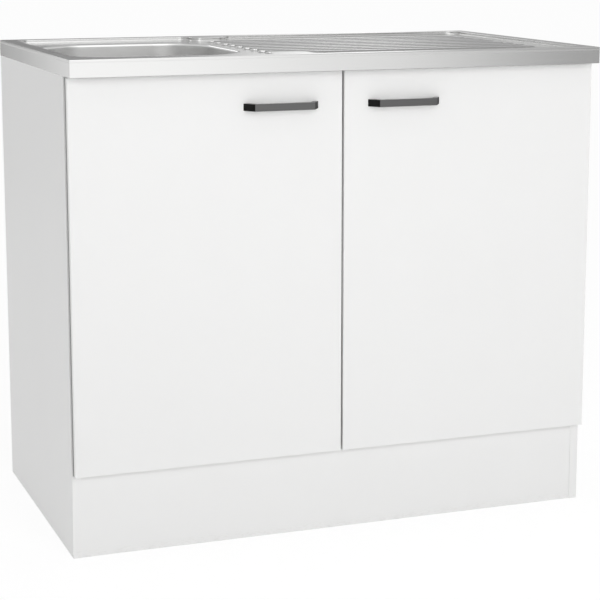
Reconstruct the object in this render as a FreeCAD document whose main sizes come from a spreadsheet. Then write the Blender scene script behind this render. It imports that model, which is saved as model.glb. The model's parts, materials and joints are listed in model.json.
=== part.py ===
import FreeCAD, Part
import math
import os
import re

import Sketcher
from FreeCAD import Placement, Rotation, Vector

# A kitchen sink unit: a white two-door cabinet with a stainless lay-on sink top, a bowl on the left and a
# ribbed drainer on the right.
#
# Frame, in millimetres: the origin is at floor level below the middle of the sink top, X points to the
# right of someone who faces the doors, Y points to the wall behind and Z points up.

SIZES = {
    # overall
    "unit_width": 1000.0,
    "unit_depth": 600.0,
    "cabinet_height": 850.0,
    "rim_height": 30.0,
    # boards
    "board_thick": 16.0,
    "side_setback": 45.0,
    "back_setback": 5.0,
    "plinth_height": 150.0,
    "plinth_recess": 1.5,
    "rail_height": 100.0,
    "board_rounding": 0.8,
    # doors
    "door_air": 2.5,
    "door_reveal": 2.0,
    "door_meet": 4.0,
    "door_lift": 2.0,
    "door_drop": 2.0,
    # handles
    "handle_length": 139.0,
    "handle_front": 111.0,
    "handle_reach": 22.5,
    "handle_foot": 11.0,
    "handle_bar": 7.0,
    "handle_tall": 13.0,
    "handle_rounding": 0.7,
    "handle_hole_spacing": 128.0,
    "handle_place": 117.0,
    "handle_drop": 61.0,
    "handle_thread_radius": 2.0,
    "handle_thread_deep": 5.0,
    "handle_bore_radius": 2.3,
    "screw_head_radius": 4.2,
    "screw_head_tall": 1.6,
    "screw_play": 0.05,
    # sink pressing
    "steel_thick": 1.0,
    "rim_width": 26.0,
    "field_deep": 6.0,
    "field_corner": 25.0,
    "field_bend": 2.0,
    "rim_corner": 2.0,
    "rim_bend": 1.5,
    "rim_lip": 12.0,
    "ledge_place": 411.0,
    "ledge_half": 36.0,
    "ledge_reach": 47.0,
    "ledge_corner": 18.0,
    "bowl_margin": 40.0,
    "bowl_wide": 324.0,
    "bowl_long": 340.0,
    "bowl_deep": 150.0,
    "bowl_corner": 90.0,
    "bowl_mouth": 4.0,
    "bowl_foot": 24.0,
    "rib_gap": 24.0,
    "rib_margin": 66.0,
    "rib_count": 9.0,
    "rib_half": 12.0,
    "rib_tall": 3.0,
    "rib_slope": 50.0,
    "rib_pitch": 44.0,
    # drain, measured from the axis and from the bowl's floor
    "drain_hole_radius": 45.0,
    "drain_rim_radius": 56.0,
    "drain_cup_radius": 43.5,
    "drain_steel": 1.0,
    "drain_cup_deep": 25.0,
    "drain_seat_radius": 21.0,
    "gasket_radius": 55.0,
    "gasket_thick": 3.0,
    "ring_radius": 57.0,
    "ring_tall": 10.0,
    "body_wall": 2.5,
    "body_deep": 48.0,
    "spigot_radius": 20.0,
    "spigot_long": 26.0,
    "part_gap": 0.3,
    "pipe_wall": 2.0,
    "basket_radius": 41.8,
    "basket_steel": 1.0,
    "basket_deep": 19.0,
    "basket_hole_radius": 2.2,
    "basket_hole_count": 12.0,
    "plug_radius": 23.0,
    "knob_radius": 11.0,
    "knob_tall": 8.0,
    "knob_stem": 3.0,
    "knob_rise": 13.0,
    # trap
    "nut_radius": 27.0,
    "nut_tall": 18.0,
    "tail_radius": 16.0,
    "tail_long": 62.0,
    "bottle_air": 24.0,
    "bottle_radius": 33.0,
    "bottle_tall": 84.0,
    "bottle_wall": 3.0,
    "bottle_cup_tall": 34.0,
    "outlet_drop": 30.0,
    "outlet_radius": 20.0,
    "outlet_socket": 52.0,
    "outlet_end": 4.0,
    # overflow
    "overflow_drop": 50.0,
    "overflow_hole_radius": 12.0,
    "overflow_plate_radius": 20.0,
    "overflow_radius": 19.0,
    "overflow_long": 22.0,
    "overflow_pipe_radius": 9.0,
    "overflow_neck_radius": 10.0,
    "overflow_inlet": 36.0,
    "overflow_bend": 25.0,
    "overflow_slot": 3.0,
    # sink fixings and sound pad
    "clip_wide": 24.0,
    "clip_leg": 26.0,
    "clip_flange": 7.0,
    "clip_steel": 1.5,
    "clip_place": 170.0,
    "clip_screw_radius": 2.0,
    "clip_screw_long": 12.0,
    "pad_start": 64.0,
    "pad_wide": 44.0,
    "pad_long": 150.0,
    "pad_thick": 3.0,
    # cam fittings
    "cam_radius": 7.5,
    "cam_deep": 12.0,
    "cam_inset": 34.0,
    "cam_slot_radius": 3.6,
    "cam_bolt_radius": 3.0,
    "cam_bore_radius": 3.5,
    "cam_bolt_bite": 11.0,
    "dowel_radius": 4.0,
    "dowel_half": 10.0,
    "cam_margin": 60.0,
    "dowel_step": 32.0,
    # plinth clips
    "block_wide": 30.0,
    "block_place": 300.0,
    # hinges, measured from the door's outer edge and from the side panel's front edge
    "hinge_margin": 130.0,
    "cup_radius": 17.4,
    "cup_bore": 17.5,
    "cup_steel": 0.8,
    "cup_deep": 12.0,
    "cup_edge": 5.0,
    "wing_thick": 1.0,
    "wing_half": 30.0,
    "wing_near": 18.0,
    "wing_far": 41.0,
    "wing_screw_in": 32.0,
    "wing_screw_place": 24.0,
    "wing_screw_radius": 1.75,
    "wing_screw_long": 11.0,
    "door_pin_in": 11.5,
    "door_pin_deep": 3.2,
    "arm_pin_in": 18.0,
    "arm_pin_deep": 5.0,
    "pin_radius": 1.5,
    "pin_play": 0.05,
    "link_eye": 3.0,
    "link_thick": 2.0,
    "link_half": 4.4,
    "lug_gap": 0.3,
    "lug_thick": 2.0,
    "arm_thick": 7.0,
    "arm_start": 11.0,
    "plate_thick": 2.5,
    "plate_near": 22.0,
    "plate_far": 62.0,
    "plate_half": 26.0,
    "plate_line": 37.0,
    "plate_screw_place": 16.0,
    "plate_screw_radius": 2.5,
    "plate_screw_long": 11.0,
    "arm_screw_radius": 3.0,
    "arm_screw_line": 52.0,
    # small parts
    "buffer_radius": 4.0,
    "buffer_thick": 2.0,
    "buffer_in": 30.0,
    "buffer_low": 7.0,
    "buffer_high": 20.0,
    "wall_hole_radius": 2.5,
    "wall_hole_place": 400.0,
}

AXES = {
    "x": Rotation(Vector(0, 1, 0), 90),
    "y": Rotation(Vector(1, 0, 0), -90),
    "z": Rotation(),
}

# Edges are found by their place, to within this distance.
TINY = 1e-3

doc = FreeCAD.newDocument("sink_unit")
sub_parts = []


def write_sheet():
    """Write every driving size as a plain number with an alias."""
    sheet = doc.addObject("Spreadsheet::Sheet", "Sizes")
    for row, (alias, number) in enumerate(SIZES.items(), start=1):
        sheet.set(f"A{row}", alias)
        sheet.set(f"B{row}", str(number))
        sheet.setAlias(f"B{row}", alias)
    doc.recompute()


def sized(text):
    """Turn each size's name in an expression into a reference to its cell."""
    return re.sub(r"[a-z][a-z_]+", lambda word: f"Sizes.{word[0]}" if word[0] in SIZES else word[0], text)


def bind(item, **expressions):
    """Bind properties of an object to expressions of the sizes."""
    for name, text in expressions.items():
        item.setExpression(name, sized(text))


def put(item, x="0", y="0", z="0"):
    """Bind an object's position to three expressions."""
    for axis, text in zip("xyz", (x, y, z)):
        item.setExpression(f"Placement.Base.{axis}", sized(text))
    return item


def keep(item, label):
    """Name a finished sub-part."""
    item.Label = label
    sub_parts.append(item)
    return item


# ---------------------------------------------------------------- plain solids and booleans


def block(name, size, corner):
    """Make a box from its three sizes and its low corner."""
    item = doc.addObject("Part::Box", name)
    bind(item, Length=size[0], Width=size[1], Height=size[2])
    return put(item, *corner)


def rod(name, radius, length, foot, axis="z"):
    """Make a cylinder that runs from its foot along an axis."""
    item = doc.addObject("Part::Cylinder", name)
    bind(item, Radius=radius, Height=length)
    item.Placement = Placement(Vector(), AXES[axis])
    return put(item, *foot)


def group(name, items):
    """Hold separate solids together as one node."""
    item = doc.addObject("Part::Compound", name)
    item.Links = items
    return item


def cut(name, base, tools):
    """Cut disjoint tools out of a base."""
    item = doc.addObject("Part::Cut", name)
    item.Base = base
    item.Tool = tools[0] if len(tools) == 1 else group(f"{name}_tools", tools)
    return item


def fuse(name, items):
    """Fuse touching solids into one."""
    item = doc.addObject("Part::MultiFuse", name)
    item.Shapes = items
    item.Refine = True
    return item


def reflected(name, source, axis="x", position="0"):
    """Mirror a source in the plane across an axis at a position."""
    item = doc.addObject("Part::Mirroring", name)
    item.Source = source
    item.Normal = {"x": Vector(1, 0, 0), "y": Vector(0, 1, 0), "z": Vector(0, 0, 1)}[axis]
    item.setExpression(f"Base.{axis}", sized(position))
    return item


def both_heights(name, lower):
    """Pair a lower hinge piece with its twin, mirrored about the door's middle."""
    middle = "plinth_height / 2 + door_lift / 2 + cabinet_height / 2 - door_drop / 2"
    return group(name, [lower, reflected(f"{name}_upper", lower, "z", middle)])


def both_sides(name, left):
    """Name a left sub-part and make and name its right twin."""
    keep(left, f"{name}_left")
    keep(reflected(f"{name}_twin", left), f"{name}_right")


# ---------------------------------------------------------------- sketches and body features


def new_body(name):
    """Start a body."""
    return doc.addObject("PartDesign::Body", name)


def sketch_on(body, name, role, offset="0"):
    """Attach a sketch to one of the body's origin planes, moved along the plane's normal."""
    sketch = body.newObject("Sketcher::SketchObject", name)
    plane = next(item for item in body.Origin.OriginFeatures if item.Role == role)
    sketch.AttachmentSupport = [(plane, "")]
    sketch.MapMode = "FlatFace"
    sketch.setExpression("AttachmentOffset.Base.z", sized(offset))
    return sketch


def pin_point(sketch, geometry, place, point, start):
    """Hold a sketch point at a pair of expressions."""
    for kind, text, number in zip(("DistanceX", "DistanceY"), point, start):
        index = sketch.addConstraint(Sketcher.Constraint(kind, -1, 1, geometry, place, number))
        sketch.setExpression(f"Constraints[{index}]", sized(text))


def polygon(sketch, corners):
    """Draw a closed outline through corners given as pairs of expressions."""
    count = len(corners)
    first = sketch.GeometryCount
    starts = [Vector(math.cos(turn), math.sin(turn), 0) for turn in range(count)]
    for index in range(count):
        sketch.addGeometry(Part.LineSegment(starts[index], starts[(index + 1) % count]), False)
    for index in range(count):
        following = first + (index + 1) % count
        sketch.addConstraint(Sketcher.Constraint("Coincident", first + index, 2, following, 1))
    for index, corner in enumerate(corners):
        pin_point(sketch, first + index, 1, corner, (starts[index].x, starts[index].y))
    return sketch


def rectangle(sketch, low, high):
    """Draw a rectangle between two corners."""
    return polygon(sketch, [low, (high[0], low[1]), high, (low[0], high[1])])


def circle(sketch, centre, radius):
    """Draw a circle with its centre and radius held by expressions."""
    index = sketch.addGeometry(Part.Circle(Vector(1, 1, 0), Vector(0, 0, 1), 1), False)
    pin_point(sketch, index, 3, centre, (1, 1))
    held = sketch.addConstraint(Sketcher.Constraint("Radius", index, 1))
    sketch.setExpression(f"Constraints[{held}]", sized(radius))
    return sketch


def pad(body, sketch, length, reverse=False, middle=False, taper="0"):
    """Add a prism on a sketch."""
    item = body.newObject("PartDesign::Pad", f"{sketch.Name}_pad")
    item.Profile = sketch
    item.Reversed = reverse
    item.Midplane = middle
    bind(item, Length=length, TaperAngle=taper)
    return item


def pocket(body, sketch, length, reverse=False, taper="0"):
    """Cut a prism on a sketch; a forward cut goes against the sketch's normal."""
    item = body.newObject("PartDesign::Pocket", f"{sketch.Name}_cut")
    item.Profile = sketch
    item.Reversed = reverse
    bind(item, Length=length, TaperAngle=taper)
    return item


def turned(body, sketch):
    """Turn an outline in the XZ plane about the body's Z axis."""
    item = body.newObject("PartDesign::Revolution", f"{sketch.Name}_turn")
    item.Profile = sketch
    item.ReferenceAxis = (sketch, ["V_Axis"])
    item.Angle = 360
    return item


def turned_body(name, corners):
    """Make a body by turning one outline of (radius, height) corners."""
    body = new_body(name)
    turned(body, polygon(sketch_on(body, f"{name}_outline", "XZ_Plane"), corners))
    return body


def round_edges(body, base, radius, wanted):
    """Round every edge of the last feature for which wanted(edge) is true."""
    doc.recompute()
    names = [f"Edge{index}" for index, edge in enumerate(base.Shape.Edges, start=1) if wanted(edge)]
    item = body.newObject("PartDesign::Fillet", f"{base.Name}_round")
    item.Base = (base, names)
    bind(item, Radius=radius)
    return item


def upright(edge):
    """Tell whether an edge is a line along Z."""
    box = edge.BoundBox
    return box.XLength < TINY and box.YLength < TINY


def level_at(*heights):
    """Make a test for edges that lie wholly at one of the heights."""
    return lambda edge: edge.BoundBox.ZLength < TINY and any(
        abs(edge.BoundBox.ZMin - height) < TINY for height in heights
    )


# ---------------------------------------------------------------- cabinet boards

HALF_INSIDE = "(unit_width / 2 - board_thick)"
FRONT_EDGE = "(side_setback - unit_depth / 2)"
BACK_EDGE = "(unit_depth / 2 - back_setback)"
DOOR_BACK = "(side_setback - unit_depth / 2 - door_air)"
INSIDE_FLOOR = "(plinth_height + board_thick)"
HINGE_Z = "(plinth_height + door_lift + hinge_margin)"
HANDLE_Z = "(cabinet_height - handle_drop)"
PLATE_SCREW_Y = f"({FRONT_EDGE} + plate_line)"
CLIP_SCREW_Z = "(cabinet_height - clip_leg * 3 / 5)"

# Each board end is held by cam bolts at these places along it: name, y, z, and the way the cam faces.
CAM_JOINTS = [
    ("bottom_front", f"{FRONT_EDGE} + cam_margin", "plinth_height + board_thick / 2", "down"),
    ("bottom_back", f"{BACK_EDGE} - cam_margin - rail_height", "plinth_height + board_thick / 2", "down"),
    ("front_rail", f"{FRONT_EDGE} + board_thick / 2", "cabinet_height - rail_height / 2", "back"),
    ("rear_top", f"{BACK_EDGE} - board_thick / 2", "cabinet_height - rail_height / 2", "front"),
    ("rear_bottom", f"{BACK_EDGE} - board_thick / 2", f"{INSIDE_FLOOR} + rail_height / 2", "front"),
]


def dowel_place(y, z, facing):
    """Give the place of the dowel beside a cam bolt: along Y in a flat board, along Z in an upright one."""
    if facing == "down":
        return f"{y} + dowel_step", z
    return y, f"{z} - dowel_step"


def side_panel():
    """Make the left side panel with the blind holes for its bolts, dowels and screws."""
    panel = block(
        "side_board",
        ("board_thick", "unit_depth - side_setback - back_setback", "cabinet_height"),
        ("-unit_width / 2", FRONT_EDGE, "0"),
    )
    tools = []
    for name, y, z, facing in CAM_JOINTS:
        bolt_foot = (f"-{HALF_INSIDE} - cam_bolt_bite", y, z)
        tools.append(rod(f"{name}_bolt_bore", "cam_bolt_radius", "cam_bolt_bite + board_thick", bolt_foot, "x"))
        dowel_y, dowel_z = dowel_place(y, z, facing)
        dowel_foot = (f"-{HALF_INSIDE} - dowel_half", dowel_y, dowel_z)
        tools.append(rod(f"{name}_dowel_bore", "dowel_radius", "dowel_half + board_thick", dowel_foot, "x"))
    for turn, sign in enumerate("-+"):
        foot = (f"-{HALF_INSIDE} - clip_screw_long", f"{sign}clip_place", CLIP_SCREW_Z)
        tools.append(rod(f"clip_bore_{turn}", "clip_screw_radius", "clip_screw_long + board_thick", foot, "x"))
        z = f"{HINGE_Z} {sign} plate_screw_place"
        foot = (f"-{HALF_INSIDE} - plate_screw_long", PLATE_SCREW_Y, z)
        lower = rod(f"plate_bore_{turn}", "plate_screw_radius", "plate_screw_long + board_thick", foot, "x")
        tools.append(both_heights(f"plate_bores_{turn}", lower))
    return cut("side_panel", panel, tools)


def cross_board(name, depth, height, y, z, joints, extra=()):
    """Make a board between the side panels, with its cam, bolt and dowel bores."""
    board = block(f"{name}_board", (f"2 * {HALF_INSIDE}", depth, height), (f"-{HALF_INSIDE}", y, z))
    tools = list(extra)
    for joint, joint_y, joint_z, facing in joints:
        dowel_y, dowel_z = dowel_place(joint_y, joint_z, facing)
        foot = (f"-{HALF_INSIDE}", joint_y, joint_z)
        bolt = rod(f"{joint}_shank_bore", "cam_bore_radius", "cam_inset", foot, "x")
        cam = cam_disc(f"{joint}_cam_bore", joint_y, joint_z, facing, "cam_radius", "cam_deep")
        bores = fuse(f"{joint}_cam_bores", [bolt, cam])
        dowel = rod(f"{joint}_dowel_hole", "dowel_radius", "2 * dowel_half", (foot[0], dowel_y, dowel_z), "x")
        for bore in (bores, dowel):
            tools += [bore, reflected(f"{bore.Name}_far", bore)]
    return cut(name, board, tools)


def cam_disc(name, y, z, facing, radius, deep):
    """Make a disc that is let into the board's face on the side that the cam faces."""
    x = f"-{HALF_INSIDE} + cam_inset"
    if facing == "down":
        return rod(name, radius, deep, (x, y, f"{z} - board_thick / 2"), "z")
    if facing == "back":
        return rod(name, radius, deep, (x, f"{y} + board_thick / 2 - {deep}", z), "y")
    return rod(name, radius, deep, (x, f"{y} - board_thick / 2", z), "y")


def boards():
    """Make the boards of the cabinet."""
    both_sides("side_panel", side_panel())
    joints = {name: (name, y, z, facing) for name, y, z, facing in CAM_JOINTS}
    bottom = cross_board(
        "bottom", "unit_depth - side_setback - back_setback", "board_thick", FRONT_EDGE, "plinth_height",
        [joints["bottom_front"], joints["bottom_back"]],
    )
    keep(bottom, "bottom_panel")
    upper = "cabinet_height - rail_height"
    front = cross_board("front", "board_thick", "rail_height", FRONT_EDGE, upper, [joints["front_rail"]])
    keep(front, "front_rail")
    rear_y = f"{BACK_EDGE} - board_thick"
    wall_z = "cabinet_height - rail_height / 2"
    foot = ("-wall_hole_place", f"{rear_y} - board_thick", wall_z)
    hole = rod("wall_hole_left", "wall_hole_radius", "3 * board_thick", foot, "y")
    wall_holes = [hole, reflected("wall_hole_right", hole)]
    rear = cross_board(
        "rear_top", "board_thick", "rail_height", rear_y, upper, [joints["rear_top"]], wall_holes
    )
    keep(rear, "rear_top_rail")
    low = cross_board("rear_low", "board_thick", "rail_height", rear_y, INSIDE_FLOOR, [joints["rear_bottom"]])
    keep(low, "rear_bottom_rail")
    plinth = block(
        "plinth",
        (f"2 * {HALF_INSIDE}", "board_thick", "plinth_height"),
        (f"-{HALF_INSIDE}", f"{FRONT_EDGE} + plinth_recess", "0"),
    )
    keep(plinth, "plinth_board")
    plinth_clips()


def plinth_clips():
    """Make the corner blocks that hold the plinth board under the bottom panel."""
    face = f"{FRONT_EDGE} + plinth_recess + board_thick"
    body = new_body("plinth_block")
    corners = [("0", "0"), ("0", "-block_wide"), ("board_thick / 4", "-block_wide"), ("block_wide", "0")]
    outline = polygon(sketch_on(body, "plinth_block_outline", "YZ_Plane"), corners)
    pad(body, outline, "block_wide", middle=True)
    put(body, "-block_place", face, "plinth_height")
    keep(group("plinth_blocks", [body, reflected("plinth_block_far", body)]), "plinth_clips")


def cam_fittings():
    """Make the cam locks, cam bolts and dowels of every board end."""
    locks = []
    bolts = []
    dowels = []
    for name, y, z, facing in CAM_JOINTS:
        disc = cam_disc(f"{name}_lock_disc", y, z, facing, "cam_radius - screw_play", "cam_deep")
        foot = (f"-{HALF_INSIDE}", y, z)
        slot = rod(f"{name}_lock_slot", "cam_slot_radius", "cam_inset", foot, "x")
        locks.append(cut(f"{name}_lock", disc, [slot]))
        bolt_foot = (f"-{HALF_INSIDE} - cam_bolt_bite", y, z)
        bolt_long = "cam_bolt_bite + cam_inset - steel_thick"
        bolts.append(rod(f"{name}_bolt", "cam_bolt_radius - screw_play", bolt_long, bolt_foot, "x"))
        dowel_y, dowel_z = dowel_place(y, z, facing)
        dowel_foot = (f"-{HALF_INSIDE} - dowel_half", dowel_y, dowel_z)
        dowels.append(rod(f"{name}_dowel", "dowel_radius - screw_play", "3 * dowel_half", dowel_foot, "x"))
    for label, items in (("cam_locks", locks), ("cam_bolts", bolts), ("dowels", dowels)):
        near = group(f"{label}_near", items)
        keep(group(label, [near, reflected(f"{label}_far", near)]), label)


# ---------------------------------------------------------------- sink top

# The pressing's own frame starts in the middle of its skirt's lower edge.
FIELD_HALF_X = "(unit_width / 2 - rim_width)"
FIELD_HALF_Y = "(unit_depth / 2 - rim_width)"
FIELD_TOP = "(rim_height - field_deep)"
BOWL_FLOOR = "(rim_height - field_deep - bowl_deep)"
BOWL_X = "(bowl_margin + bowl_wide / 2 - unit_width / 2)"
LEDGE_X = "(ledge_place - unit_width / 2)"
RIBS_LEFT = "(bowl_margin + bowl_wide + rib_gap - unit_width / 2)"
RIBS_RIGHT = "(unit_width / 2 - rib_margin)"
SPIGOT_END = "(-body_deep - spigot_long)"


def field_outline(sketch, grow):
    """Draw the sunken field with its two tap ledges, grown outwards by a distance."""
    x = f"({FIELD_HALF_X} + {grow})"
    y = f"({FIELD_HALF_Y} + {grow})"
    left = f"({LEDGE_X} - ledge_half + {grow})"
    right = f"({LEDGE_X} + ledge_half - {grow})"
    tip = f"({FIELD_HALF_Y} - ledge_reach + {grow})"
    return polygon(
        sketch,
        [
            (f"-{x}", f"-{y}"), (left, f"-{y}"), (left, f"-{tip}"), (right, f"-{tip}"), (right, f"-{y}"),
            (x, f"-{y}"), (x, y), (right, y), (right, tip), (left, tip), (left, y), (f"-{x}", y),
        ],
    )


def bowl_outline(sketch, grow):
    """Draw the bowl's mouth grown outwards by a distance."""
    x = f"(bowl_wide / 2 + {grow})"
    y = f"(bowl_long / 2 + {grow})"
    return rectangle(sketch, (f"{BOWL_X} - {x}", f"-{y}"), (f"{BOWL_X} + {x}", y))


def taller_than(height):
    """Make a test for upright edges longer than a height."""
    return lambda edge: upright(edge) and edge.BoundBox.ZLength > height


def mouth_edges(height, grow):
    """Make a test for the level edges round the bowl's mouth at a height."""
    left = SIZES["bowl_margin"] - SIZES["unit_width"] / 2 - grow - TINY
    right = left + SIZES["bowl_wide"] + 2 * (grow + TINY)

    def wanted(edge):
        box = edge.BoundBox
        return level_at(height)(edge) and left < box.XMin and box.XMax < right

    return wanted


def ledge_edges(at_tip, grow):
    """Make a test for the upright edges at the tap ledges' tips, or at their roots in the rim."""
    root = SIZES["unit_depth"] / 2 - SIZES["rim_width"] + grow
    tip = root - SIZES["ledge_reach"]
    place = tip if at_tip else root
    middle = SIZES["ledge_place"] - SIZES["unit_width"] / 2

    def wanted(edge):
        box = edge.BoundBox
        near = abs(box.XMin - middle) < SIZES["ledge_half"] + TINY
        return upright(edge) and near and abs(abs(box.YMin) - place) < TINY

    return wanted


def corner_edges(grow):
    """Make a test for the upright edges in the field's four corners."""
    corner = SIZES["unit_width"] / 2 - SIZES["rim_width"] + grow
    return lambda edge: upright(edge) and abs(abs(edge.BoundBox.XMin) - corner) < TINY


def field_mouth_edge(edge):
    """Tell whether an edge lies in the flat rim's plane, round the sunken field."""
    box = edge.BoundBox
    inner = SIZES["unit_width"] / 2 - SIZES["rim_width"] + TINY
    return level_at(SIZES["rim_height"])(edge) and max(-box.XMin, box.XMax) < inner


def pan(name, grow, sketch_height, bowl_start, lid=False):
    """Make the solid that fills the field and the bowl, grown by a distance from the sheet's inner face."""
    body = new_body(name)
    put(body, z="cabinet_height")
    number = SIZES.get(grow, 0.0)
    low = SIZES["rim_height"] - SIZES["field_deep"] - number
    outline = field_outline(sketch_on(body, f"{name}_field", "XY_Plane", sketch_height), grow)
    last = pad(body, outline, "field_deep")
    last = round_edges(body, last, f"field_corner + {grow}", corner_edges(number))
    last = round_edges(body, last, f"ledge_corner - {grow}", ledge_edges(True, number))
    last = round_edges(body, last, f"ledge_corner + {grow}", ledge_edges(False, number))
    last = round_edges(body, last, f"field_bend + {grow}", level_at(low))
    if lid:
        cover = sketch_on(body, f"{name}_lid", "XY_Plane", "rim_height")
        rectangle(cover, ("-unit_width / 2", "-unit_depth / 2"), ("unit_width / 2", "unit_depth / 2"))
        last = pad(body, cover, "rim_height")
        last = round_edges(body, last, "steel_thick", field_mouth_edge)
    bowl = bowl_outline(sketch_on(body, f"{name}_bowl", "XY_Plane", bowl_start), grow)
    last = pad(body, bowl, f"{bowl_start} - {BOWL_FLOOR} + {grow}", reverse=True)
    last = round_edges(body, last, f"bowl_corner + {grow}", taller_than(SIZES["bowl_deep"] / 2))
    last = round_edges(body, last, f"bowl_foot + {grow}", level_at(low - SIZES["bowl_deep"]))
    round_edges(body, last, f"bowl_mouth - {grow}", mouth_edges(low, number))
    return body


def rim():
    """Make the flat rim with its skirt and the lip that is turned in below."""
    body = new_body("rim")
    put(body, z="cabinet_height")
    outer = rectangle(
        sketch_on(body, "skirt_outline", "XY_Plane"),
        ("-unit_width / 2", "-unit_depth / 2"), ("unit_width / 2", "unit_depth / 2"),
    )
    shell = pad(body, outer, "rim_height")
    shell = round_edges(body, shell, "rim_corner", upright)
    round_edges(body, shell, "rim_bend", level_at(SIZES["rim_height"]))
    x = "(unit_width / 2 - steel_thick)"
    y = "(unit_depth / 2 - steel_thick)"
    under = rectangle(sketch_on(body, "underside", "XY_Plane", "steel_thick"), (f"-{x}", f"-{y}"), (x, y))
    pocket(body, under, "rim_height - 2 * steel_thick", reverse=True)
    lip = rectangle(
        sketch_on(body, "lip_outline", "XY_Plane"),
        (f"-{x} + rim_lip", f"-{y} + rim_lip"), (f"{x} - rim_lip", f"{y} - rim_lip"),
    )
    pocket(body, lip, "steel_thick", reverse=True)
    return body


def sink_top():
    """Make the stainless pressing: rim, skirt, sunken field with ribs, and bowl."""
    low = f"{FIELD_TOP} - steel_thick"
    outside = pan("pan_outside", "steel_thick", low, f"({FIELD_TOP} - steel_thick / 2)")
    rib_row(outside, "hollow", low, "steel_thick / 2")
    inside = pan("pan_inside", "0", FIELD_TOP, f"({FIELD_TOP} + steel_thick / 2)", lid=True)
    rib_row(inside, "ridge", FIELD_TOP, "0")
    below = f"cabinet_height + {BOWL_FLOOR} - 2 * steel_thick"
    drain_hole = rod("drain_hole_tool", "drain_hole_radius", "4 * steel_thick", (BOWL_X, "0", below))
    overflow_hole = rod(
        "overflow_hole_tool", "overflow_hole_radius", "4 * steel_thick",
        (BOWL_X, "bowl_long / 2 - 2 * steel_thick", f"cabinet_height + {FIELD_TOP} - overflow_drop"), "y",
    )
    hollow = fuse("sink_hollow", [inside, drain_hole, overflow_hole])
    keep(cut("sink", fuse("sink_solid", [rim(), outside]), [hollow]), "sink_top")


def rib_row(body, name, height, shrink):
    """Cut the drainer's rib shapes upwards from a height, narrower by a distance all round."""
    sketch = sketch_on(body, name, "XY_Plane", height)
    first = "-(rib_count - 1) / 2 * rib_pitch"
    slot(sketch, f"{RIBS_LEFT} + {shrink}", f"{RIBS_RIGHT} - {shrink}", first, f"(rib_half - {shrink})")
    rib = pocket(body, sketch, "rib_tall", reverse=True, taper="-rib_slope")
    doc.recompute()
    pattern = body.newObject("PartDesign::LinearPattern", f"{name}_row")
    pattern.Originals = [rib]
    pattern.Direction = (sketch, ["V_Axis"])
    bind(pattern, Length="(rib_count - 1) * rib_pitch", Occurrences="rib_count")
    body.Tip = pattern


def slot(sketch, left, right, across, half):
    """Draw a slot along X with round ends, its middle line at a distance across, from close to its final place."""
    side = SIZES["rib_half"]
    near = SIZES["bowl_margin"] + SIZES["bowl_wide"] + SIZES["rib_gap"] - SIZES["unit_width"] / 2 + side
    far = SIZES["unit_width"] / 2 - SIZES["rib_margin"] - side
    row = (1 - SIZES["rib_count"]) / 2 * SIZES["rib_pitch"]
    corners = [
        Vector(x, y, 0) for x, y in ((near, row - side), (far, row - side), (far, row + side), (near, row + side))
    ]
    sketch.addGeometry(Part.LineSegment(corners[0], corners[1]), False)
    sketch.addGeometry(Part.Arc(corners[1], Vector(far + side, row, 0), corners[2]), False)
    sketch.addGeometry(Part.LineSegment(corners[2], corners[3]), False)
    sketch.addGeometry(Part.Arc(corners[3], Vector(near - side, row, 0), corners[0]), False)
    for index in range(4):
        sketch.addConstraint(Sketcher.Constraint("Tangent", index, 2, (index + 1) % 4, 1))
    pin_point(sketch, 1, 3, (f"{right} - {half}", across), (far, row))
    pin_point(sketch, 3, 3, (f"{left} + {half}", across), (near, row))
    sketch.addConstraint(Sketcher.Constraint("Equal", 1, 3))
    held = sketch.addConstraint(Sketcher.Constraint("Radius", 1, side))
    sketch.setExpression(f"Constraints[{held}]", sized(half))
    return sketch


def sink_fixings():
    """Make the brackets that hold the sink's lip on the side panels, their screws, and the sound pads."""
    face = f"-{HALF_INSIDE}"
    leg = f"({face} + clip_steel)"
    low = "cabinet_height - clip_leg"
    top = "(cabinet_height + steel_thick)"
    flange = f"({face} - clip_flange)"
    clip = new_body("clip")
    outline = polygon(
        sketch_on(clip, "clip_outline", "XZ_Plane", "clip_place"),
        [
            (face, low), (leg, low), (leg, f"{top} + clip_steel"), (flange, f"{top} + clip_steel"),
            (flange, top), (face, top),
        ],
    )
    pad(clip, outline, "clip_wide", middle=True)
    place = ("-clip_place", CLIP_SCREW_Z)
    hole = circle(sketch_on(clip, "clip_hole", "YZ_Plane", leg), place, "clip_screw_radius")
    pocket(clip, hole, "2 * clip_steel")
    foot = (leg, "-clip_place", CLIP_SCREW_Z)
    fixing = screw("clip_fixing", foot, "x", "clip_screw_radius", "clip_screw_long + clip_steel")
    for label, near in (("sink_clips", clip), ("sink_clip_screws", fixing)):
        left = group(f"{label}_left", [near, reflected(f"{label}_back", near, "y")])
        keep(group(label, [left, reflected(f"{label}_right", left)]), label)
    pads = block(
        "sound_pad_near",
        ("pad_wide", "pad_long", "pad_thick"),
        (f"{BOWL_X} + pad_start", "-pad_long / 2", f"cabinet_height + {BOWL_FLOOR} - steel_thick - pad_thick"),
    )
    keep(group("pads", [pads, reflected("sound_pad_far", pads, "x", BOWL_X)]), "sound_pads")


def screw(name, foot, axis, radius, length, inward=True):
    """Make a screw whose head rests on its foot point, with its shank running the other way along the axis."""
    x, y, z = foot
    along = f"({length} - screw_play)"
    shank_foot = {"x": (f"{x} - {along}", y, z), "y": (x, f"{y} - {along}", z)}[axis]
    head_foot = foot
    if not inward:
        shank_foot = foot
        head_foot = {"x": (f"{x} - screw_head_tall", y, z), "y": (x, f"{y} - screw_head_tall", z)}[axis]
    shank = rod(f"{name}_shank", f"{radius} - screw_play", along, shank_foot, axis)
    head = rod(f"{name}_head", "screw_head_radius", "screw_head_tall", head_foot, axis)
    return fuse(name, [shank, head])


# ---------------------------------------------------------------- drain, trap and overflow

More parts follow.
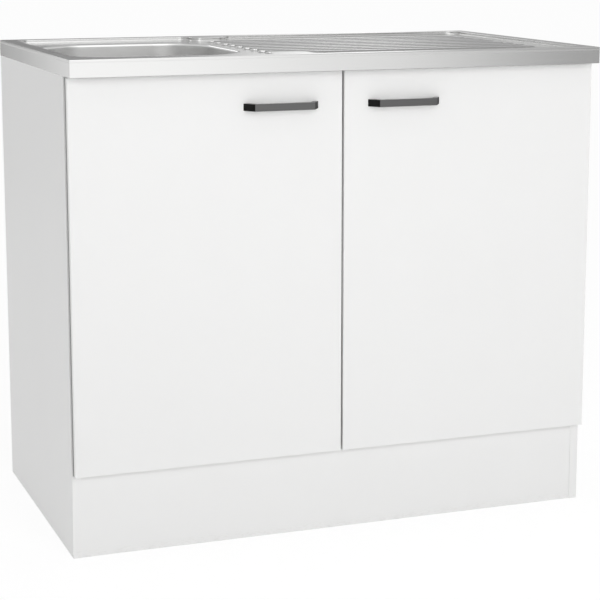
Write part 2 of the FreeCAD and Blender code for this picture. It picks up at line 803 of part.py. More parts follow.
# These turned pieces share the drain's axis; their heights count from the top of the bowl's floor.


def drain_piece(name, corners):
    """Turn a piece about the drain's axis."""
    return put(turned_body(name, corners), BOWL_X, "0", f"cabinet_height + {BOWL_FLOOR}")


def ring(inner, outer, low, high):
    """Give the corners of a plain ring's section."""
    return [(inner, low), (outer, low), (outer, high), (inner, high)]


def drain():
    """Make the strainer drain that hangs in the bowl's floor."""
    cup = "(drain_cup_radius - drain_steel)"
    floor = "(drain_steel - drain_cup_deep)"
    flange = drain_piece("flange", [
        ("drain_seat_radius", "-drain_cup_deep"), ("drain_cup_radius", "-drain_cup_deep"),
        ("drain_cup_radius", "0"), ("drain_rim_radius", "0"), ("drain_rim_radius", "drain_steel / 2"),
        ("drain_rim_radius - drain_steel", "drain_steel"),
        (f"{cup} + drain_steel", "drain_steel"), (cup, "0"), (cup, floor), ("drain_seat_radius", floor),
    ])
    keep(flange, "drain_flange")
    seal_low = "(-steel_thick - gasket_thick)"
    seal = drain_piece("seal", ring("drain_cup_radius", "gasket_radius", seal_low, "-steel_thick"))
    keep(seal, "drain_gasket")
    ring_low = "(-steel_thick - gasket_thick - ring_tall)"
    lock = drain_piece("lock", ring("drain_cup_radius", "ring_radius", ring_low, seal_low))
    place = ("ring_radius + body_wall / 2", "0")
    notch = circle(sketch_on(lock, "notch", "XY_Plane", seal_low), place, "body_wall")
    first = pocket(lock, notch, "2 * ring_tall")
    polar_pattern(lock, first, notch, "basket_hole_count")
    keep(lock, "drain_lock_ring")
    outer = "drain_cup_radius + body_wall"
    throat = "spigot_radius - body_wall"
    body = drain_piece("shell", [
        ("drain_cup_radius", ring_low), (outer, ring_low), (outer, "-body_deep"), ("spigot_radius", "-body_deep"),
        ("spigot_radius", SPIGOT_END), (throat, SPIGOT_END), (throat, "-body_deep + body_wall"),
        ("drain_cup_radius", "-body_deep + body_wall"),
    ])
    inlet = circle(
        sketch_on(body, "inlet", "XZ_Plane", "-drain_cup_radius + 2 * body_wall"), ("0", "-overflow_inlet"),
        "overflow_pipe_radius - pipe_wall",
    )
    pocket(body, inlet, "4 * body_wall")
    keep(body, "drain_body")
    basket()


def polar_pattern(body, feature, sketch, count):
    """Repeat a feature round the body's Z axis."""
    doc.recompute()
    pattern = body.newObject("PartDesign::PolarPattern", f"{feature.Name}_round")
    pattern.Originals = [feature]
    pattern.Axis = (sketch, ["N_Axis"])
    pattern.Angle = 360
    bind(pattern, Occurrences=count)
    body.Tip = pattern
    return pattern


def basket():
    """Make the basket that lifts out of the drain, with its rubber plug and knob."""
    low = "(-basket_deep - basket_steel)"
    wall = "(basket_radius - basket_steel)"
    sieve = drain_piece("sieve", [
        ("0", low), ("basket_radius - 2 * basket_steel", low), ("basket_radius", "-basket_deep + basket_steel"),
        ("basket_radius", "0"), (wall, "0"), (wall, "-basket_deep + basket_steel"),
        ("basket_radius - 3 * basket_steel", "-basket_deep"), ("0", "-basket_deep"),
    ])
    for index, share in enumerate(("3 / 4", "9 / 10")):
        place = (f"drain_cup_radius * {share} - basket_hole_radius", "0")
        holes = circle(sketch_on(sieve, f"holes_{index}", "XY_Plane", "0"), place, "basket_hole_radius")
        first = pocket(sieve, holes, "basket_deep + 2 * basket_steel")
        polar_pattern(sieve, first, holes, "basket_hole_count")
    keep(sieve, "strainer_basket")
    plug_low = "(drain_steel - drain_cup_deep + part_gap)"
    keep(drain_piece("stopper", ring("0", "plug_radius", plug_low, low)), "strainer_plug")
    neck = "(knob_rise - basket_deep)"
    knob = drain_piece("knob", [
        ("0", "-basket_deep"), ("knob_stem", "-basket_deep"), ("knob_stem", neck), ("knob_radius", neck),
        ("knob_radius", f"{neck} + knob_tall * 3 / 4"), ("knob_radius - knob_tall / 4", f"{neck} + knob_tall"),
        ("0", f"{neck} + knob_tall"),
    ])
    keep(knob, "strainer_knob")


def slip_nut(sleeve, pipe, low, high):
    """Make a nut over a sleeve whose lower end closes round the pipe in it."""
    wall = "(nut_radius - spigot_radius)"
    return [
        (pipe, low), (f"{sleeve} + {wall}", low), (f"{sleeve} + {wall}", high), (sleeve, high),
        (sleeve, f"{low} + body_wall"), (pipe, f"{low} + body_wall"),
    ]


def trap():
    """Make the bottle trap below the drain and the pipe to the wall."""
    nut_high = f"({SPIGOT_END} + nut_tall / 2)"
    nut_low = f"({nut_high} - nut_tall)"
    keep(drain_piece("spigot_nut", slip_nut("spigot_radius", "tail_radius", nut_low, nut_high)), "trap_nut")
    tail_top = f"({SPIGOT_END} + nut_tall / 2)"
    tail = ring("tail_radius - pipe_wall", "tail_radius", f"{tail_top} - tail_long", tail_top)
    keep(drain_piece("tail", tail), "tailpiece")
    top = f"({SPIGOT_END} - bottle_air)"
    low = f"({top} - bottle_tall)"
    foot = f"{low} - bottle_cup_tall"
    inside = "(bottle_radius - bottle_wall)"
    bottle = drain_piece("bottle", ring("0", "bottle_radius", low, top))
    outlet_z = f"{top} - outlet_drop"
    socket = circle(sketch_on(bottle, "socket", "XZ_Plane"), ("0", outlet_z), "outlet_radius + bottle_wall")
    pad(bottle, socket, "outlet_socket", reverse=True)
    cavity = circle(sketch_on(bottle, "cavity", "XY_Plane", low), ("0", "0"), inside)
    pocket(bottle, cavity, "bottle_tall - bottle_wall", reverse=True)
    mouth = circle(sketch_on(bottle, "mouth", "XY_Plane", top), ("0", "0"), "tail_radius")
    pocket(bottle, mouth, "2 * bottle_wall")
    bore = circle(sketch_on(bottle, "outlet_bore", "XZ_Plane"), ("0", outlet_z), "outlet_radius")
    pocket(bottle, bore, "2 * outlet_socket")
    keep(bottle, "trap_bottle")
    cup = drain_piece("sediment_cup", [
        ("0", foot), ("bottle_radius", foot), ("bottle_radius", low), (inside, low),
        (inside, f"{foot} + bottle_wall"), ("0", f"{foot} + bottle_wall"),
    ])
    keep(cup, "trap_cup")
    collar = ring("tail_radius", "tail_radius + nut_radius - spigot_radius", top, f"{top} + nut_tall / 2")
    keep(drain_piece("collar", collar), "bottle_nut")
    outlet(f"(cabinet_height + {BOWL_FLOOR} + {outlet_z})")


def outlet(height):
    """Make the outlet pipe and its nut, lying along Y at a height."""
    end = "(unit_depth / 2 - outlet_end)"
    start = "(bottle_radius + bottle_wall)"
    inside = "outlet_radius - pipe_wall"
    low = "(outlet_socket + body_wall)"
    step = f"({low} + body_wall / 2)"
    pipe = turned_body("pipe", [
        (inside, start), ("outlet_radius - part_gap", start), ("outlet_radius - part_gap", step),
        ("outlet_radius", step), ("outlet_radius", end), (inside, end),
    ])
    sleeve = "(outlet_radius + bottle_wall)"
    corners = slip_nut(sleeve, "outlet_radius", f"-{low}", f"-{low} + nut_tall")
    nut = turned_body("nut", corners)
    pipe.Placement = Placement(Vector(), AXES["y"])
    nut.Placement = Placement(Vector(), Rotation(Vector(1, 0, 0), 90))
    keep(put(pipe, BOWL_X, "0", height), "outlet_pipe")
    keep(put(nut, BOWL_X, "0", height), "outlet_nut")


def overflow():
    """Make the overflow in the bowl's back wall and its pipe down to the drain."""
    z = f"(cabinet_height + {FIELD_TOP} - overflow_drop)"
    wall = "(bowl_long / 2)"
    x = BOWL_X
    disc = rod("grid_disc", "overflow_plate_radius", "steel_thick", (x, f"{wall} - steel_thick", z), "y")
    slots = []
    for name, side in (("lower", "- 5"), ("upper", "+ 3")):
        size = ("overflow_plate_radius", "3 * steel_thick", "overflow_slot")
        low = f"{z} {side} * overflow_slot / 2"
        corner = (f"{x} - overflow_plate_radius / 2", f"{wall} - 2 * steel_thick", low)
        slots.append(block(f"grid_slot_{name}", size, corner))
    hole = rod("grid_hole", "plate_screw_radius", "3 * steel_thick", (x, f"{wall} - 2 * steel_thick", z), "y")
    keep(cut("grid", disc, slots + [hole]), "overflow_plate")
    head = f"{wall} - steel_thick"
    long = "overflow_long + steel_thick"
    keep(screw("grid_screw", (x, head, z), "y", "plate_screw_radius", long, inward=False), "overflow_screw")
    outside = f"({wall} + steel_thick)"
    barrel = rod("barrel", "overflow_radius", "overflow_long", (x, outside, z), "y")
    middle = f"({outside} + overflow_long / 2)"
    pipe_top = f"({z} - overflow_radius - body_wall)"
    tall = "overflow_radius + body_wall"
    neck = rod("neck", "overflow_neck_radius", tall, (x, middle, pipe_top), "z")
    hollow = rod("hollow_barrel", "overflow_hole_radius", "overflow_long - body_wall", (x, outside, z), "y")
    throat = rod("throat", "overflow_pipe_radius - pipe_wall", tall, (x, middle, pipe_top), "z")
    thread = rod("thread", "plate_screw_radius", "overflow_long", (x, outside, z), "y")
    inside = fuse("housing_inside", [hollow, throat, thread])
    keep(cut("housing", fuse("housing_shell", [barrel, neck]), [inside]), "overflow_housing")
    low = f"(cabinet_height + {BOWL_FLOOR} - overflow_inlet)"
    solid = bent_rod("pipe_outside", "overflow_pipe_radius", middle, pipe_top, low)
    bore = bent_rod("pipe_inside", "overflow_pipe_radius - pipe_wall", middle, pipe_top, low)
    keep(cut("bent_pipe", solid, [bore]), "overflow_pipe")


def bent_rod(name, radius, y, top, low):
    """Make a round bar that comes down at y, turns a quarter bend and runs forward to the drain."""
    x = BOWL_X
    end = "(drain_cup_radius + body_wall)"
    upper = rod(f"{name}_down", radius, f"{top} - {low} - overflow_bend", (x, y, f"{low} + overflow_bend"), "z")
    lower = rod(f"{name}_along", radius, f"{y} - overflow_bend - {end}", (x, end, low), "y")
    bend = doc.addObject("Part::Torus", f"{name}_bend")
    bind(bend, Radius1="overflow_bend", Radius2=radius)
    bend.Angle3 = 90
    bend.Placement = Placement(Vector(), Rotation(Vector(0, 1, 0), Vector(0, 0, -1), Vector(-1, 0, 0), "XYZ"))
    put(bend, x, f"{y} - overflow_bend", f"{low} + overflow_bend")
    return fuse(name, [upper, bend, lower])


# ---------------------------------------------------------------- doors, handles and hinges

DOOR_OUT = "(-unit_width / 2 + door_reveal)"
DOOR_FRONT = f"({DOOR_BACK} - board_thick)"
CUP_X = f"({DOOR_OUT} + cup_edge + cup_bore)"


def door():
    """Make the left door with its bores for two hinge cups, their screws and the handle's screws."""
    body = new_body("door")
    put(body, z="plinth_height + door_lift")
    tall = "(cabinet_height - door_drop - plinth_height - door_lift)"
    face = rectangle(
        sketch_on(body, "door_outline", "XY_Plane"), (DOOR_OUT, DOOR_FRONT), ("-door_meet / 2", DOOR_BACK)
    )
    slab = pad(body, face, tall)
    front = SIZES["side_setback"] - SIZES["unit_depth"] / 2 - SIZES["door_air"] - SIZES["board_thick"]
    round_edges(body, slab, "board_rounding", lambda edge: abs(edge.BoundBox.YMax - front) < TINY)
    cups = sketch_on(body, "cup_bores", "XZ_Plane", f"-{DOOR_BACK}")
    screws = sketch_on(body, "cup_screw_bores", "XZ_Plane", f"-{DOOR_BACK}")
    for height in ("hinge_margin", f"{tall} - hinge_margin"):
        circle(cups, (CUP_X, height), "cup_bore")
        for sign in "-+":
            place = (f"{DOOR_OUT} + wing_screw_in", f"{height} {sign} wing_screw_place")
            circle(screws, place, "wing_screw_radius")
    pocket(body, cups, "cup_deep + cup_steel / 2", reverse=True)
    pocket(body, screws, "wing_screw_long", reverse=True)
    handle = sketch_on(body, "handle_bores", "XZ_Plane", f"-{DOOR_BACK}")
    for sign in "-+":
        place = (f"-handle_place {sign} handle_hole_spacing / 2", f"{tall} - handle_drop + door_drop")
        circle(handle, place, "handle_bore_radius")
    pocket(body, handle, "2 * board_thick", reverse=True)
    return body


def handle():
    """Make the left bow handle: a flat bar on two legs that lean outwards."""
    body = new_body("bow")
    put(body, "-handle_place", DOOR_FRONT, HANDLE_Z)
    slant = "((handle_length - handle_front) / 2 / handle_reach)"
    under = "(handle_reach - handle_bar)"
    foot = "(handle_length / 2 - handle_foot)"
    inner = f"({foot} - {slant} * {under})"
    corners = [
        ("-handle_length / 2", "0"), ("-handle_front / 2", "-handle_reach"),
        ("handle_front / 2", "-handle_reach"), ("handle_length / 2", "0"),
        (foot, "0"), (inner, f"-{under}"), (f"-{inner}", f"-{under}"), (f"-{foot}", "0"),
    ]
    bar = pad(body, polygon(sketch_on(body, "bow_outline", "XY_Plane"), corners), "handle_tall", middle=True)
    half = SIZES["handle_tall"] / 2
    round_edges(body, bar, "handle_rounding", level_at(half, -half))
    bores = sketch_on(body, "bow_bores", "XZ_Plane")
    for sign in "-+":
        circle(bores, (f"{sign} handle_hole_spacing / 2", "0"), "handle_thread_radius")
    pocket(body, bores, "handle_thread_deep", reverse=True)
    return body


def door_fittings():
    """Make the left handle's screws and the left door's buffers."""
    head = ("-handle_place - handle_hole_spacing / 2", DOOR_BACK, HANDLE_Z)
    near = screw("handle_screw", head, "y", "handle_thread_radius", "board_thick + handle_thread_deep")
    both_sides("handle_screws", group("handle_screw_pair", [
        near, reflected("handle_screw_far", near, "x", "-handle_place"),
    ]))
    x = "-door_meet / 2 - buffer_in"
    low = (x, DOOR_BACK, "plinth_height + door_lift + buffer_low")
    high = (x, DOOR_BACK, "cabinet_height - door_drop - buffer_high")
    both_sides("door_buffers", group("buffer_pair", [
        rod("buffer_low", "buffer_radius", "buffer_thick", low, "y"),
        rod("buffer_high", "buffer_radius", "buffer_thick", high, "y"),
    ]))


# The hinge's two axes, and its half heights outside and inside the lugs that hold the pins.
DOOR_PIN = (f"({DOOR_OUT} + door_pin_in)", f"({DOOR_BACK} - door_pin_deep)")
ARM_PIN = (f"(-{HALF_INSIDE} + arm_pin_in)", f"({FRONT_EDGE} - arm_pin_deep)")
LUG_INSIDE = "(link_half + lug_gap)"
LUG_OUTSIDE = "(link_half + lug_gap + lug_thick)"


def hinge_pin(name, place):
    """Make a pin on one of the hinge's axes."""
    return rod(name, "pin_radius", f"2 * {LUG_OUTSIDE}", (*place, f"{HINGE_Z} - {LUG_OUTSIDE}"))


def hinges():
    """Make the left hinges, each from a cup, two pins, a link, an arm, a plate and their screws."""
    both_sides("hinge_cups", both_heights("cups", hinge_cup()))
    both_sides("cup_pins", both_heights("cup_pin_set", hinge_pin("cup_pin", DOOR_PIN)))
    both_sides("cup_screws", both_heights("cup_screw_set", cup_screws()))
    both_sides("hinge_links", both_heights("links", hinge_link()))
    both_sides("hinge_arms", both_heights("arms", hinge_arm()))
    both_sides("arm_pins", both_heights("arm_pin_set", hinge_pin("arm_pin", ARM_PIN)))
    plates()


def hinge_cup():
    """Make one cup: a round pressing with screw wings, and two lugs inside that hold the door's pin."""
    bottom = f"{DOOR_BACK} - cup_deep"
    shell = rod("cup_outside", "cup_radius", "cup_deep", (CUP_X, bottom, HINGE_Z), "y")
    wing = block(
        "cup_wing", ("wing_far - wing_near", "wing_thick", "2 * wing_half"),
        (f"{DOOR_OUT} + wing_near", DOOR_BACK, f"{HINGE_Z} - wing_half"),
    )
    tools = [rod(
        "cup_inside", "cup_radius - cup_steel", "cup_deep + 2 * wing_thick",
        (CUP_X, f"{bottom} + cup_steel", HINGE_Z), "y",
    )]
    for name, z in wing_screw_heights():
        foot = (f"{DOOR_OUT} + wing_screw_in", f"{DOOR_BACK} - wing_thick", z)
        tools.append(rod(f"wing_bore_{name}", "wing_screw_radius", "3 * wing_thick", foot, "y"))
    pressing = cut("cup_pressing", fuse("cup_solid", [shell, wing]), tools)
    lug = ("2 * link_eye", "cup_deep - cup_steel / 2 - door_pin_deep + link_eye", "lug_thick")
    lug_x = f"{DOOR_PIN[0]} - link_eye"
    lugs = [
        block(f"cup_lug_{name}", lug, (lug_x, f"{bottom} + cup_steel / 2", z))
        for name, z in (("low", f"{HINGE_Z} - {LUG_OUTSIDE}"), ("high", f"{HINGE_Z} + {LUG_INSIDE}"))
    ]
    return cut("cup", fuse("cup_with_lugs", [pressing] + lugs), [hinge_pin("cup_pin_bore", DOOR_PIN)])


def wing_screw_heights():
    """Give the names and heights of the two screws that hold a cup's wings."""
    return (("low", f"{HINGE_Z} - wing_screw_place"), ("high", f"{HINGE_Z} + wing_screw_place"))


def cup_screws():
    """Make the two screws of one cup."""
    return group("cup_screw_pair", [
        screw(
            f"wing_screw_{name}", (f"{DOOR_OUT} + wing_screw_in", f"{DOOR_BACK} + wing_thick", z), "y",
            "wing_screw_radius", "wing_screw_long + wing_thick / 2",
        )
        for name, z in wing_screw_heights()
    ])


def hinge_link():
    """Make one link: a bar between two bored eyes."""
    body = new_body("link")
    put(body, z=HINGE_Z)
    bar = [
        (DOOR_PIN[0], f"{DOOR_PIN[1]} - link_thick / 2"), (ARM_PIN[0], f"{ARM_PIN[1]} - link_thick / 2"),
        (ARM_PIN[0], f"{ARM_PIN[1]} + link_thick / 2"), (DOOR_PIN[0], f"{DOOR_PIN[1]} + link_thick / 2"),
    ]
    pad(body, polygon(sketch_on(body, "link_bar", "XY_Plane"), bar), "2 * link_half", middle=True)
    bores = sketch_on(body, "link_bores", "XY_Plane", "-link_half")
    for name, place in (("door_eye", DOOR_PIN), ("arm_eye", ARM_PIN)):
        pad(body, circle(sketch_on(body, name, "XY_Plane"), place, "link_eye"), "2 * link_half", middle=True)
        circle(bores, place, "pin_radius + pin_play")
    pocket(body, bores, "2 * link_half", reverse=True)
    return body


def hinge_arm():
    """Make one arm: it lies on its plate, reaches forward and forks round the link's eye."""
    arm_x, arm_y = ARM_PIN
    body = new_body("arm")
    put(body, z=HINGE_Z)
    low = f"(-{HALF_INSIDE} + plate_thick)"
    high = f"({low} + arm_thick)"
    back = f"({FRONT_EDGE} + plate_far)"
    start = f"({FRONT_EDGE} + arm_start)"
    near = f"({arm_x} - link_eye)"
    far = f"({arm_x} + link_eye)"
    tip = f"{arm_y} - link_eye"
    corners = [
        (low, back), (low, start), (near, FRONT_EDGE), (near, tip), (far, tip),
        (far, f"{FRONT_EDGE} + lug_thick"), (high, f"{start} + lug_thick"), (high, back),
    ]
    outline = polygon(sketch_on(body, "arm_outline", "XY_Plane"), corners)
    pad(body, outline, f"2 * {LUG_OUTSIDE}", middle=True)
    fork = rectangle(
        sketch_on(body, "fork", "XY_Plane", f"-{LUG_INSIDE}"),
        (f"{near} - lug_gap", f"{tip} - lug_gap"), (f"{far} + lug_gap", f"{arm_y} + link_eye + lug_gap"),
    )
    pocket(body, fork, f"2 * {LUG_INSIDE}", reverse=True)
    bore = circle(sketch_on(body, "arm_bore", "XY_Plane", f"-{LUG_OUTSIDE}"), ARM_PIN, "pin_radius")
    pocket(body, bore, f"2 * {LUG_OUTSIDE}", reverse=True)
    place = (f"{FRONT_EDGE} + arm_screw_line", "0")
    hole = circle(sketch_on(body, "arm_screw_hole", "YZ_Plane", high), place, "arm_screw_radius")
    pocket(body, hole, "arm_thick")
    return body


def plates():
    """Make the left mounting plates with their screws and the arms' own screws."""
    face = f"-{HALF_INSIDE}"
    behind = f"{face} - plate_thick / 2"
    base = block(
        "plate_base", ("plate_thick", "plate_far - plate_near", "2 * plate_half"),
        (face, f"{FRONT_EDGE} + plate_near", f"{HINGE_Z} - plate_half"),
    )
    arm_screw_y = f"{FRONT_EDGE} + arm_screw_line"
    holes = [rod("plate_arm_hole", "arm_screw_radius", "2 * plate_thick", (behind, arm_screw_y, HINGE_Z), "x")]
    screws = []
    for name, z in (("low", f"{HINGE_Z} - plate_screw_place"), ("high", f"{HINGE_Z} + plate_screw_place")):
        foot = (behind, PLATE_SCREW_Y, z)
        holes.append(rod(f"plate_hole_{name}", "plate_screw_radius", "2 * plate_thick", foot, "x"))
        head = (f"{face} + plate_thick", PLATE_SCREW_Y, z)
        long = "plate_screw_long + plate_thick"
        screws.append(screw(f"plate_screw_{name}", head, "x", "plate_screw_radius", long))
    both_sides("hinge_plates", both_heights("plate_set", cut("plate", base, holes)))
    both_sides("plate_screws", both_heights("plate_screw_set", group("plate_screw_pair", screws)))
    head = (f"{face} + plate_thick + arm_thick", arm_screw_y, HINGE_Z)
    fixing = screw("arm_fixing", head, "x", "arm_screw_radius", "arm_thick + plate_thick")
    both_sides("arm_screws", both_heights("arm_screw_set", fixing))


# ---------------------------------------------------------------- output


def check_and_write():
    """Refuse any failed object or invalid sub-part, then write every sub-part's file."""
    doc.recompute()
    failed = [item.Name for item in doc.Objects if {"Invalid", "Error"} & set(item.State)]
    broken = [item.Label for item in sub_parts if item.Shape.isNull() or not item.Shape.isValid()]
    if failed or broken:
        raise RuntimeError(f"failed objects {failed}, broken sub-parts {broken}")
    os.makedirs("parts", exist_ok=True)
    for item in sub_parts:
        item.Shape.exportStep(f"parts/{item.Label}.step")
    print(f"wrote {len(sub_parts)} sub-parts")


write_sheet()
boards()
cam_fittings()
sink_top()
sink_fixings()
drain()
trap()
overflow()
both_sides("door", door())
both_sides("handle", handle())
door_fittings()
hinges()
check_and_write()
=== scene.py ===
"""Dress the kitchen sink unit: finishes, small fittings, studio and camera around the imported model."""

import json
import logging
import math
from dataclasses import dataclass
from enum import Enum
from typing import Any, Iterable, Optional, Union

import bmesh
import bpy
from mathutils import Matrix, Vector

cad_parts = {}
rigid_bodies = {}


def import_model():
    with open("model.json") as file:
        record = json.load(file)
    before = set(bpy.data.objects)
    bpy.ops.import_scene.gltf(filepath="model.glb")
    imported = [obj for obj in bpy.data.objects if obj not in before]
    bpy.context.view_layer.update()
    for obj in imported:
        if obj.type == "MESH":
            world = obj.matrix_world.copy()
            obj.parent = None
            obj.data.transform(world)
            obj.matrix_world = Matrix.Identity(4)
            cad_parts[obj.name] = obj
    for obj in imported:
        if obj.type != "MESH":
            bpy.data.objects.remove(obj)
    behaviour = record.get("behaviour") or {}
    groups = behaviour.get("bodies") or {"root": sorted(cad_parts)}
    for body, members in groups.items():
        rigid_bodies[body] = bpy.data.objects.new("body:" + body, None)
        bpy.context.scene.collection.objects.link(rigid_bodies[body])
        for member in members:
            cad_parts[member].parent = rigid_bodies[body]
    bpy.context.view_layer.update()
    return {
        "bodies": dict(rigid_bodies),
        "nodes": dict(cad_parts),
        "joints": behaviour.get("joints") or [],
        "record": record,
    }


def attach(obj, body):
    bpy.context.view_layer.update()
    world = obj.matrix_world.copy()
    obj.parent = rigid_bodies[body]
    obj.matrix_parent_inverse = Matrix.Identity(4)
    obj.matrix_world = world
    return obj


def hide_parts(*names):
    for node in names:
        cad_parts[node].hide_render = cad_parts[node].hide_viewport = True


log = logging.getLogger("sink_unit")

# Places on the unit, in metres.
FIELD_TOP = 0.874
RIB_TOP = 0.877
BOWL_MOUTH = 0.8725
BOWL_REACH = 0.2
SKIRT = 0.48
DOOR_BACK = -0.2575
PLINTH_TOP = 0.15

# Edges sharper than these stay sharp, in degrees; points nearer than MERGE become one.
ROUND_EDGE = 32.0
PRESSED_EDGE = 40.0
BAR_EDGE = 30.0
FLAT_WEIGHT = 80
MERGE = 2e-6

# Shader facts: a noise's middle, the Mix node's colour sockets and the Wave node's own scale.
MIDDLE = 0.5
MIX_LOW, MIX_HIGH, MIX_RESULT = 6, 7, 2
WAVE_SCALE = 20.0
ROUNDED = (0.80, 0.98)
SIDEWAYS = 0.7
UNBANDED = 0.5
WHITE = (1.0, 1.0, 1.0, 1.0)

Number = Union[int, float]
Triple = tuple[float, float, float]
Colour = tuple[float, float, float]
Stops = tuple[tuple[float, Colour], ...]
Band = tuple[str, float]


class Side(Enum):
    """The two sides of the unit, with the sign of their X."""

    LEFT = -1
    RIGHT = 1

    @property
    def word(self) -> str:
        """The side's word in node and body names."""
        return self.name.lower()


# ---------------------------------------------------------------- shader graphs


@dataclass(frozen=True)
class Value:
    """A shader socket that takes part in Python arithmetic."""

    graph: "Graph"
    socket: bpy.types.NodeSocket

    def _maths(self, operation: str, *terms: Union["Value", Number]) -> "Value":
        """Add a Math node.

        Args:
            operation: The Math node's operation.
            terms: Its inputs in order.

        Returns:
            The node's result.
        """
        return self.graph.node("ShaderNodeMath", {"operation": operation}, dict(enumerate(terms)))

    def __add__(self, other: Union["Value", Number]) -> "Value":
        """Add."""
        return self._maths("ADD", self, other)

    __radd__ = __add__

    def __sub__(self, other: Union["Value", Number]) -> "Value":
        """Subtract."""
        return self._maths("SUBTRACT", self, other)

    def __rsub__(self, other: Union["Value", Number]) -> "Value":
        """Subtract from a number."""
        return self._maths("SUBTRACT", other, self)

    def __mul__(self, other: Union["Value", Number]) -> "Value":
        """Multiply."""
        return self._maths("MULTIPLY", self, other)

    __rmul__ = __mul__

    def __gt__(self, other: Union["Value", Number]) -> "Value":
        """Give 1 where this is greater."""
        return self._maths("GREATER_THAN", self, other)

    def __lt__(self, other: Union["Value", Number]) -> "Value":
        """Give 1 where this is less."""
        return self._maths("LESS_THAN", self, other)

    def __abs__(self) -> "Value":
        """Give the size without its sign."""
        return self._maths("ABSOLUTE", self)

    def largest(self, other: Union["Value", Number]) -> "Value":
        """Give the larger of the two."""
        return self._maths("MAXIMUM", self, other)

    def between(self, low: float, high: float) -> "Value":
        """Rise smoothly from 0 at low to 1 at high."""
        settings = {"interpolation_type": "SMOOTHSTEP"}
        inputs = {"Value": self, "From Min": low, "From Max": high}
        return self.graph.node("ShaderNodeMapRange", settings, inputs)

    def swing(self, reach: float) -> "Value":
        """Turn a noise from 0 to 1 into one around 0, as wide as reach."""
        return (self - MIDDLE) * reach


@dataclass(frozen=True)
class Pattern:
    """A noise: its cells per metre, stretch and detail, and the two levels that it is cut between."""

    scale: float
    stretch: Triple = (1.0, 1.0, 1.0)
    detail: float = 3.0
    cut: Optional[tuple[float, float]] = None


@dataclass
class Graph:
    """A material's or world's node tree."""

    tree: bpy.types.NodeTree

    def node(
        self,
        kind: str,
        settings: Optional[dict[str, Any]] = None,
        inputs: Optional[dict[Union[str, int], Any]] = None,
        output: Union[str, int] = 0,
    ) -> Value:
        """Add a node.

        Args:
            kind: The node's type name.
            settings: Its properties, set first; "stops" fills a colour ramp.
            inputs: Values or links for its sockets, by name or index.
            output: The output socket wanted.

        Returns:
            The wanted output.
        """
        item = self.tree.nodes.new(kind)
        for name, setting in (settings or {}).items():
            if name == "stops":
                self._stops(item.color_ramp, setting)
            elif name == "interpolation":
                item.color_ramp.interpolation = setting
            else:
                setattr(item, name, setting)
        for name, given in (inputs or {}).items():
            if isinstance(given, Value):
                self.tree.links.new(given.socket, item.inputs[name])
            else:
                item.inputs[name].default_value = given
        return Value(self, item.outputs[output])

    @staticmethod
    def _stops(ramp: bpy.types.ColorRamp, stops: Iterable[tuple[float, Colour]]) -> None:
        """Write a colour ramp's stops."""
        stops = list(stops)
        while len(ramp.elements) < len(stops):
            ramp.elements.new(1.0)
        for element, (place, colour) in zip(ramp.elements, stops):
            element.position = place
            element.color = (*colour, 1.0)

    def place(self, scale: Triple = (1.0, 1.0, 1.0)) -> Value:
        """Give the object coordinates, stretched."""
        coordinates = self.node("ShaderNodeTexCoord", output="Object")
        return self.node("ShaderNodeMapping", inputs={"Vector": coordinates, "Scale": scale})

    def axis(self, name: str) -> Value:
        """Give one object coordinate, in metres."""
        coordinates = self.node("ShaderNodeTexCoord", output="Object")
        return self.node("ShaderNodeSeparateXYZ", inputs={0: coordinates}, output=name)

    def noise(self, pattern: Pattern) -> Value:
        """Give a noise from 0 to 1."""
        inputs = {"Vector": self.place(pattern.stretch), "Scale": pattern.scale, "Detail": pattern.detail}
        made = self.node("ShaderNodeTexNoise", inputs=inputs)
        return made.between(*pattern.cut) if pattern.cut else made

    def blend(self, factor: Union[Value, float], low: Any, high: Any) -> Value:
        """Mix two colours."""
        low = low if isinstance(low, Value) else (*low, 1.0)
        high = high if isinstance(high, Value) else (*high, 1.0)
        inputs = {"Factor": factor, MIX_LOW: low, MIX_HIGH: high}
        return self.node("ShaderNodeMix", {"data_type": "RGBA"}, inputs, MIX_RESULT)

    def bump(self, height: Value, distance: float) -> Value:
        """Turn a height into a normal."""
        inputs = {"Height": height, "Distance": distance, "Strength": 1.0}
        return self.node("ShaderNodeBump", inputs=inputs)

    def facing(self, name: str) -> Value:
        """Give how far the surface faces along one object axis, from -1 to 1."""
        normal = self.node("ShaderNodeTexCoord", output="Normal")
        return self.node("ShaderNodeSeparateXYZ", inputs={0: normal}, output=name)

    def sideways(self) -> Value:
        """Give 1 where the surface faces left or right."""
        return abs(self.facing("X")) > SIDEWAYS

    def edges(self) -> Value:
        """Give 1 on rounded edges and corners, where the surface faces along no axis."""
        x, y, z = (abs(self.facing(name)) for name in "XYZ")
        return 1 - x.largest(y).largest(z).between(*ROUNDED)

    def finish(self, shader: Value, kind: str = "ShaderNodeOutputMaterial") -> None:
        """Link a shader to the tree's output."""
        item = self.tree.nodes.new(kind)
        self.tree.links.new(shader.socket, item.inputs["Surface"])


def scaled(colour: Colour, share: float) -> Colour:
    """Give a share of a colour."""
    return tuple(part * share for part in colour)


@dataclass(frozen=True)
class Finish:
    """A surface finish that becomes one material."""

    name: str
    roughness: float = 0.5

    def _surface(self, graph: Graph) -> dict[str, Any]:
        """Give the Principled shader's inputs."""
        raise NotImplementedError

    def material(self) -> bpy.types.Material:
        """Build the material once and give it."""
        known = bpy.data.materials.get(self.name)
        if known:
            return known
        made = bpy.data.materials.new(self.name)
        made.use_nodes = True
        made.node_tree.nodes.clear()
        graph = Graph(made.node_tree)
        shader = graph.node("ShaderNodeBsdfPrincipled", inputs=self._surface(graph))
        graph.finish(shader)
        return made


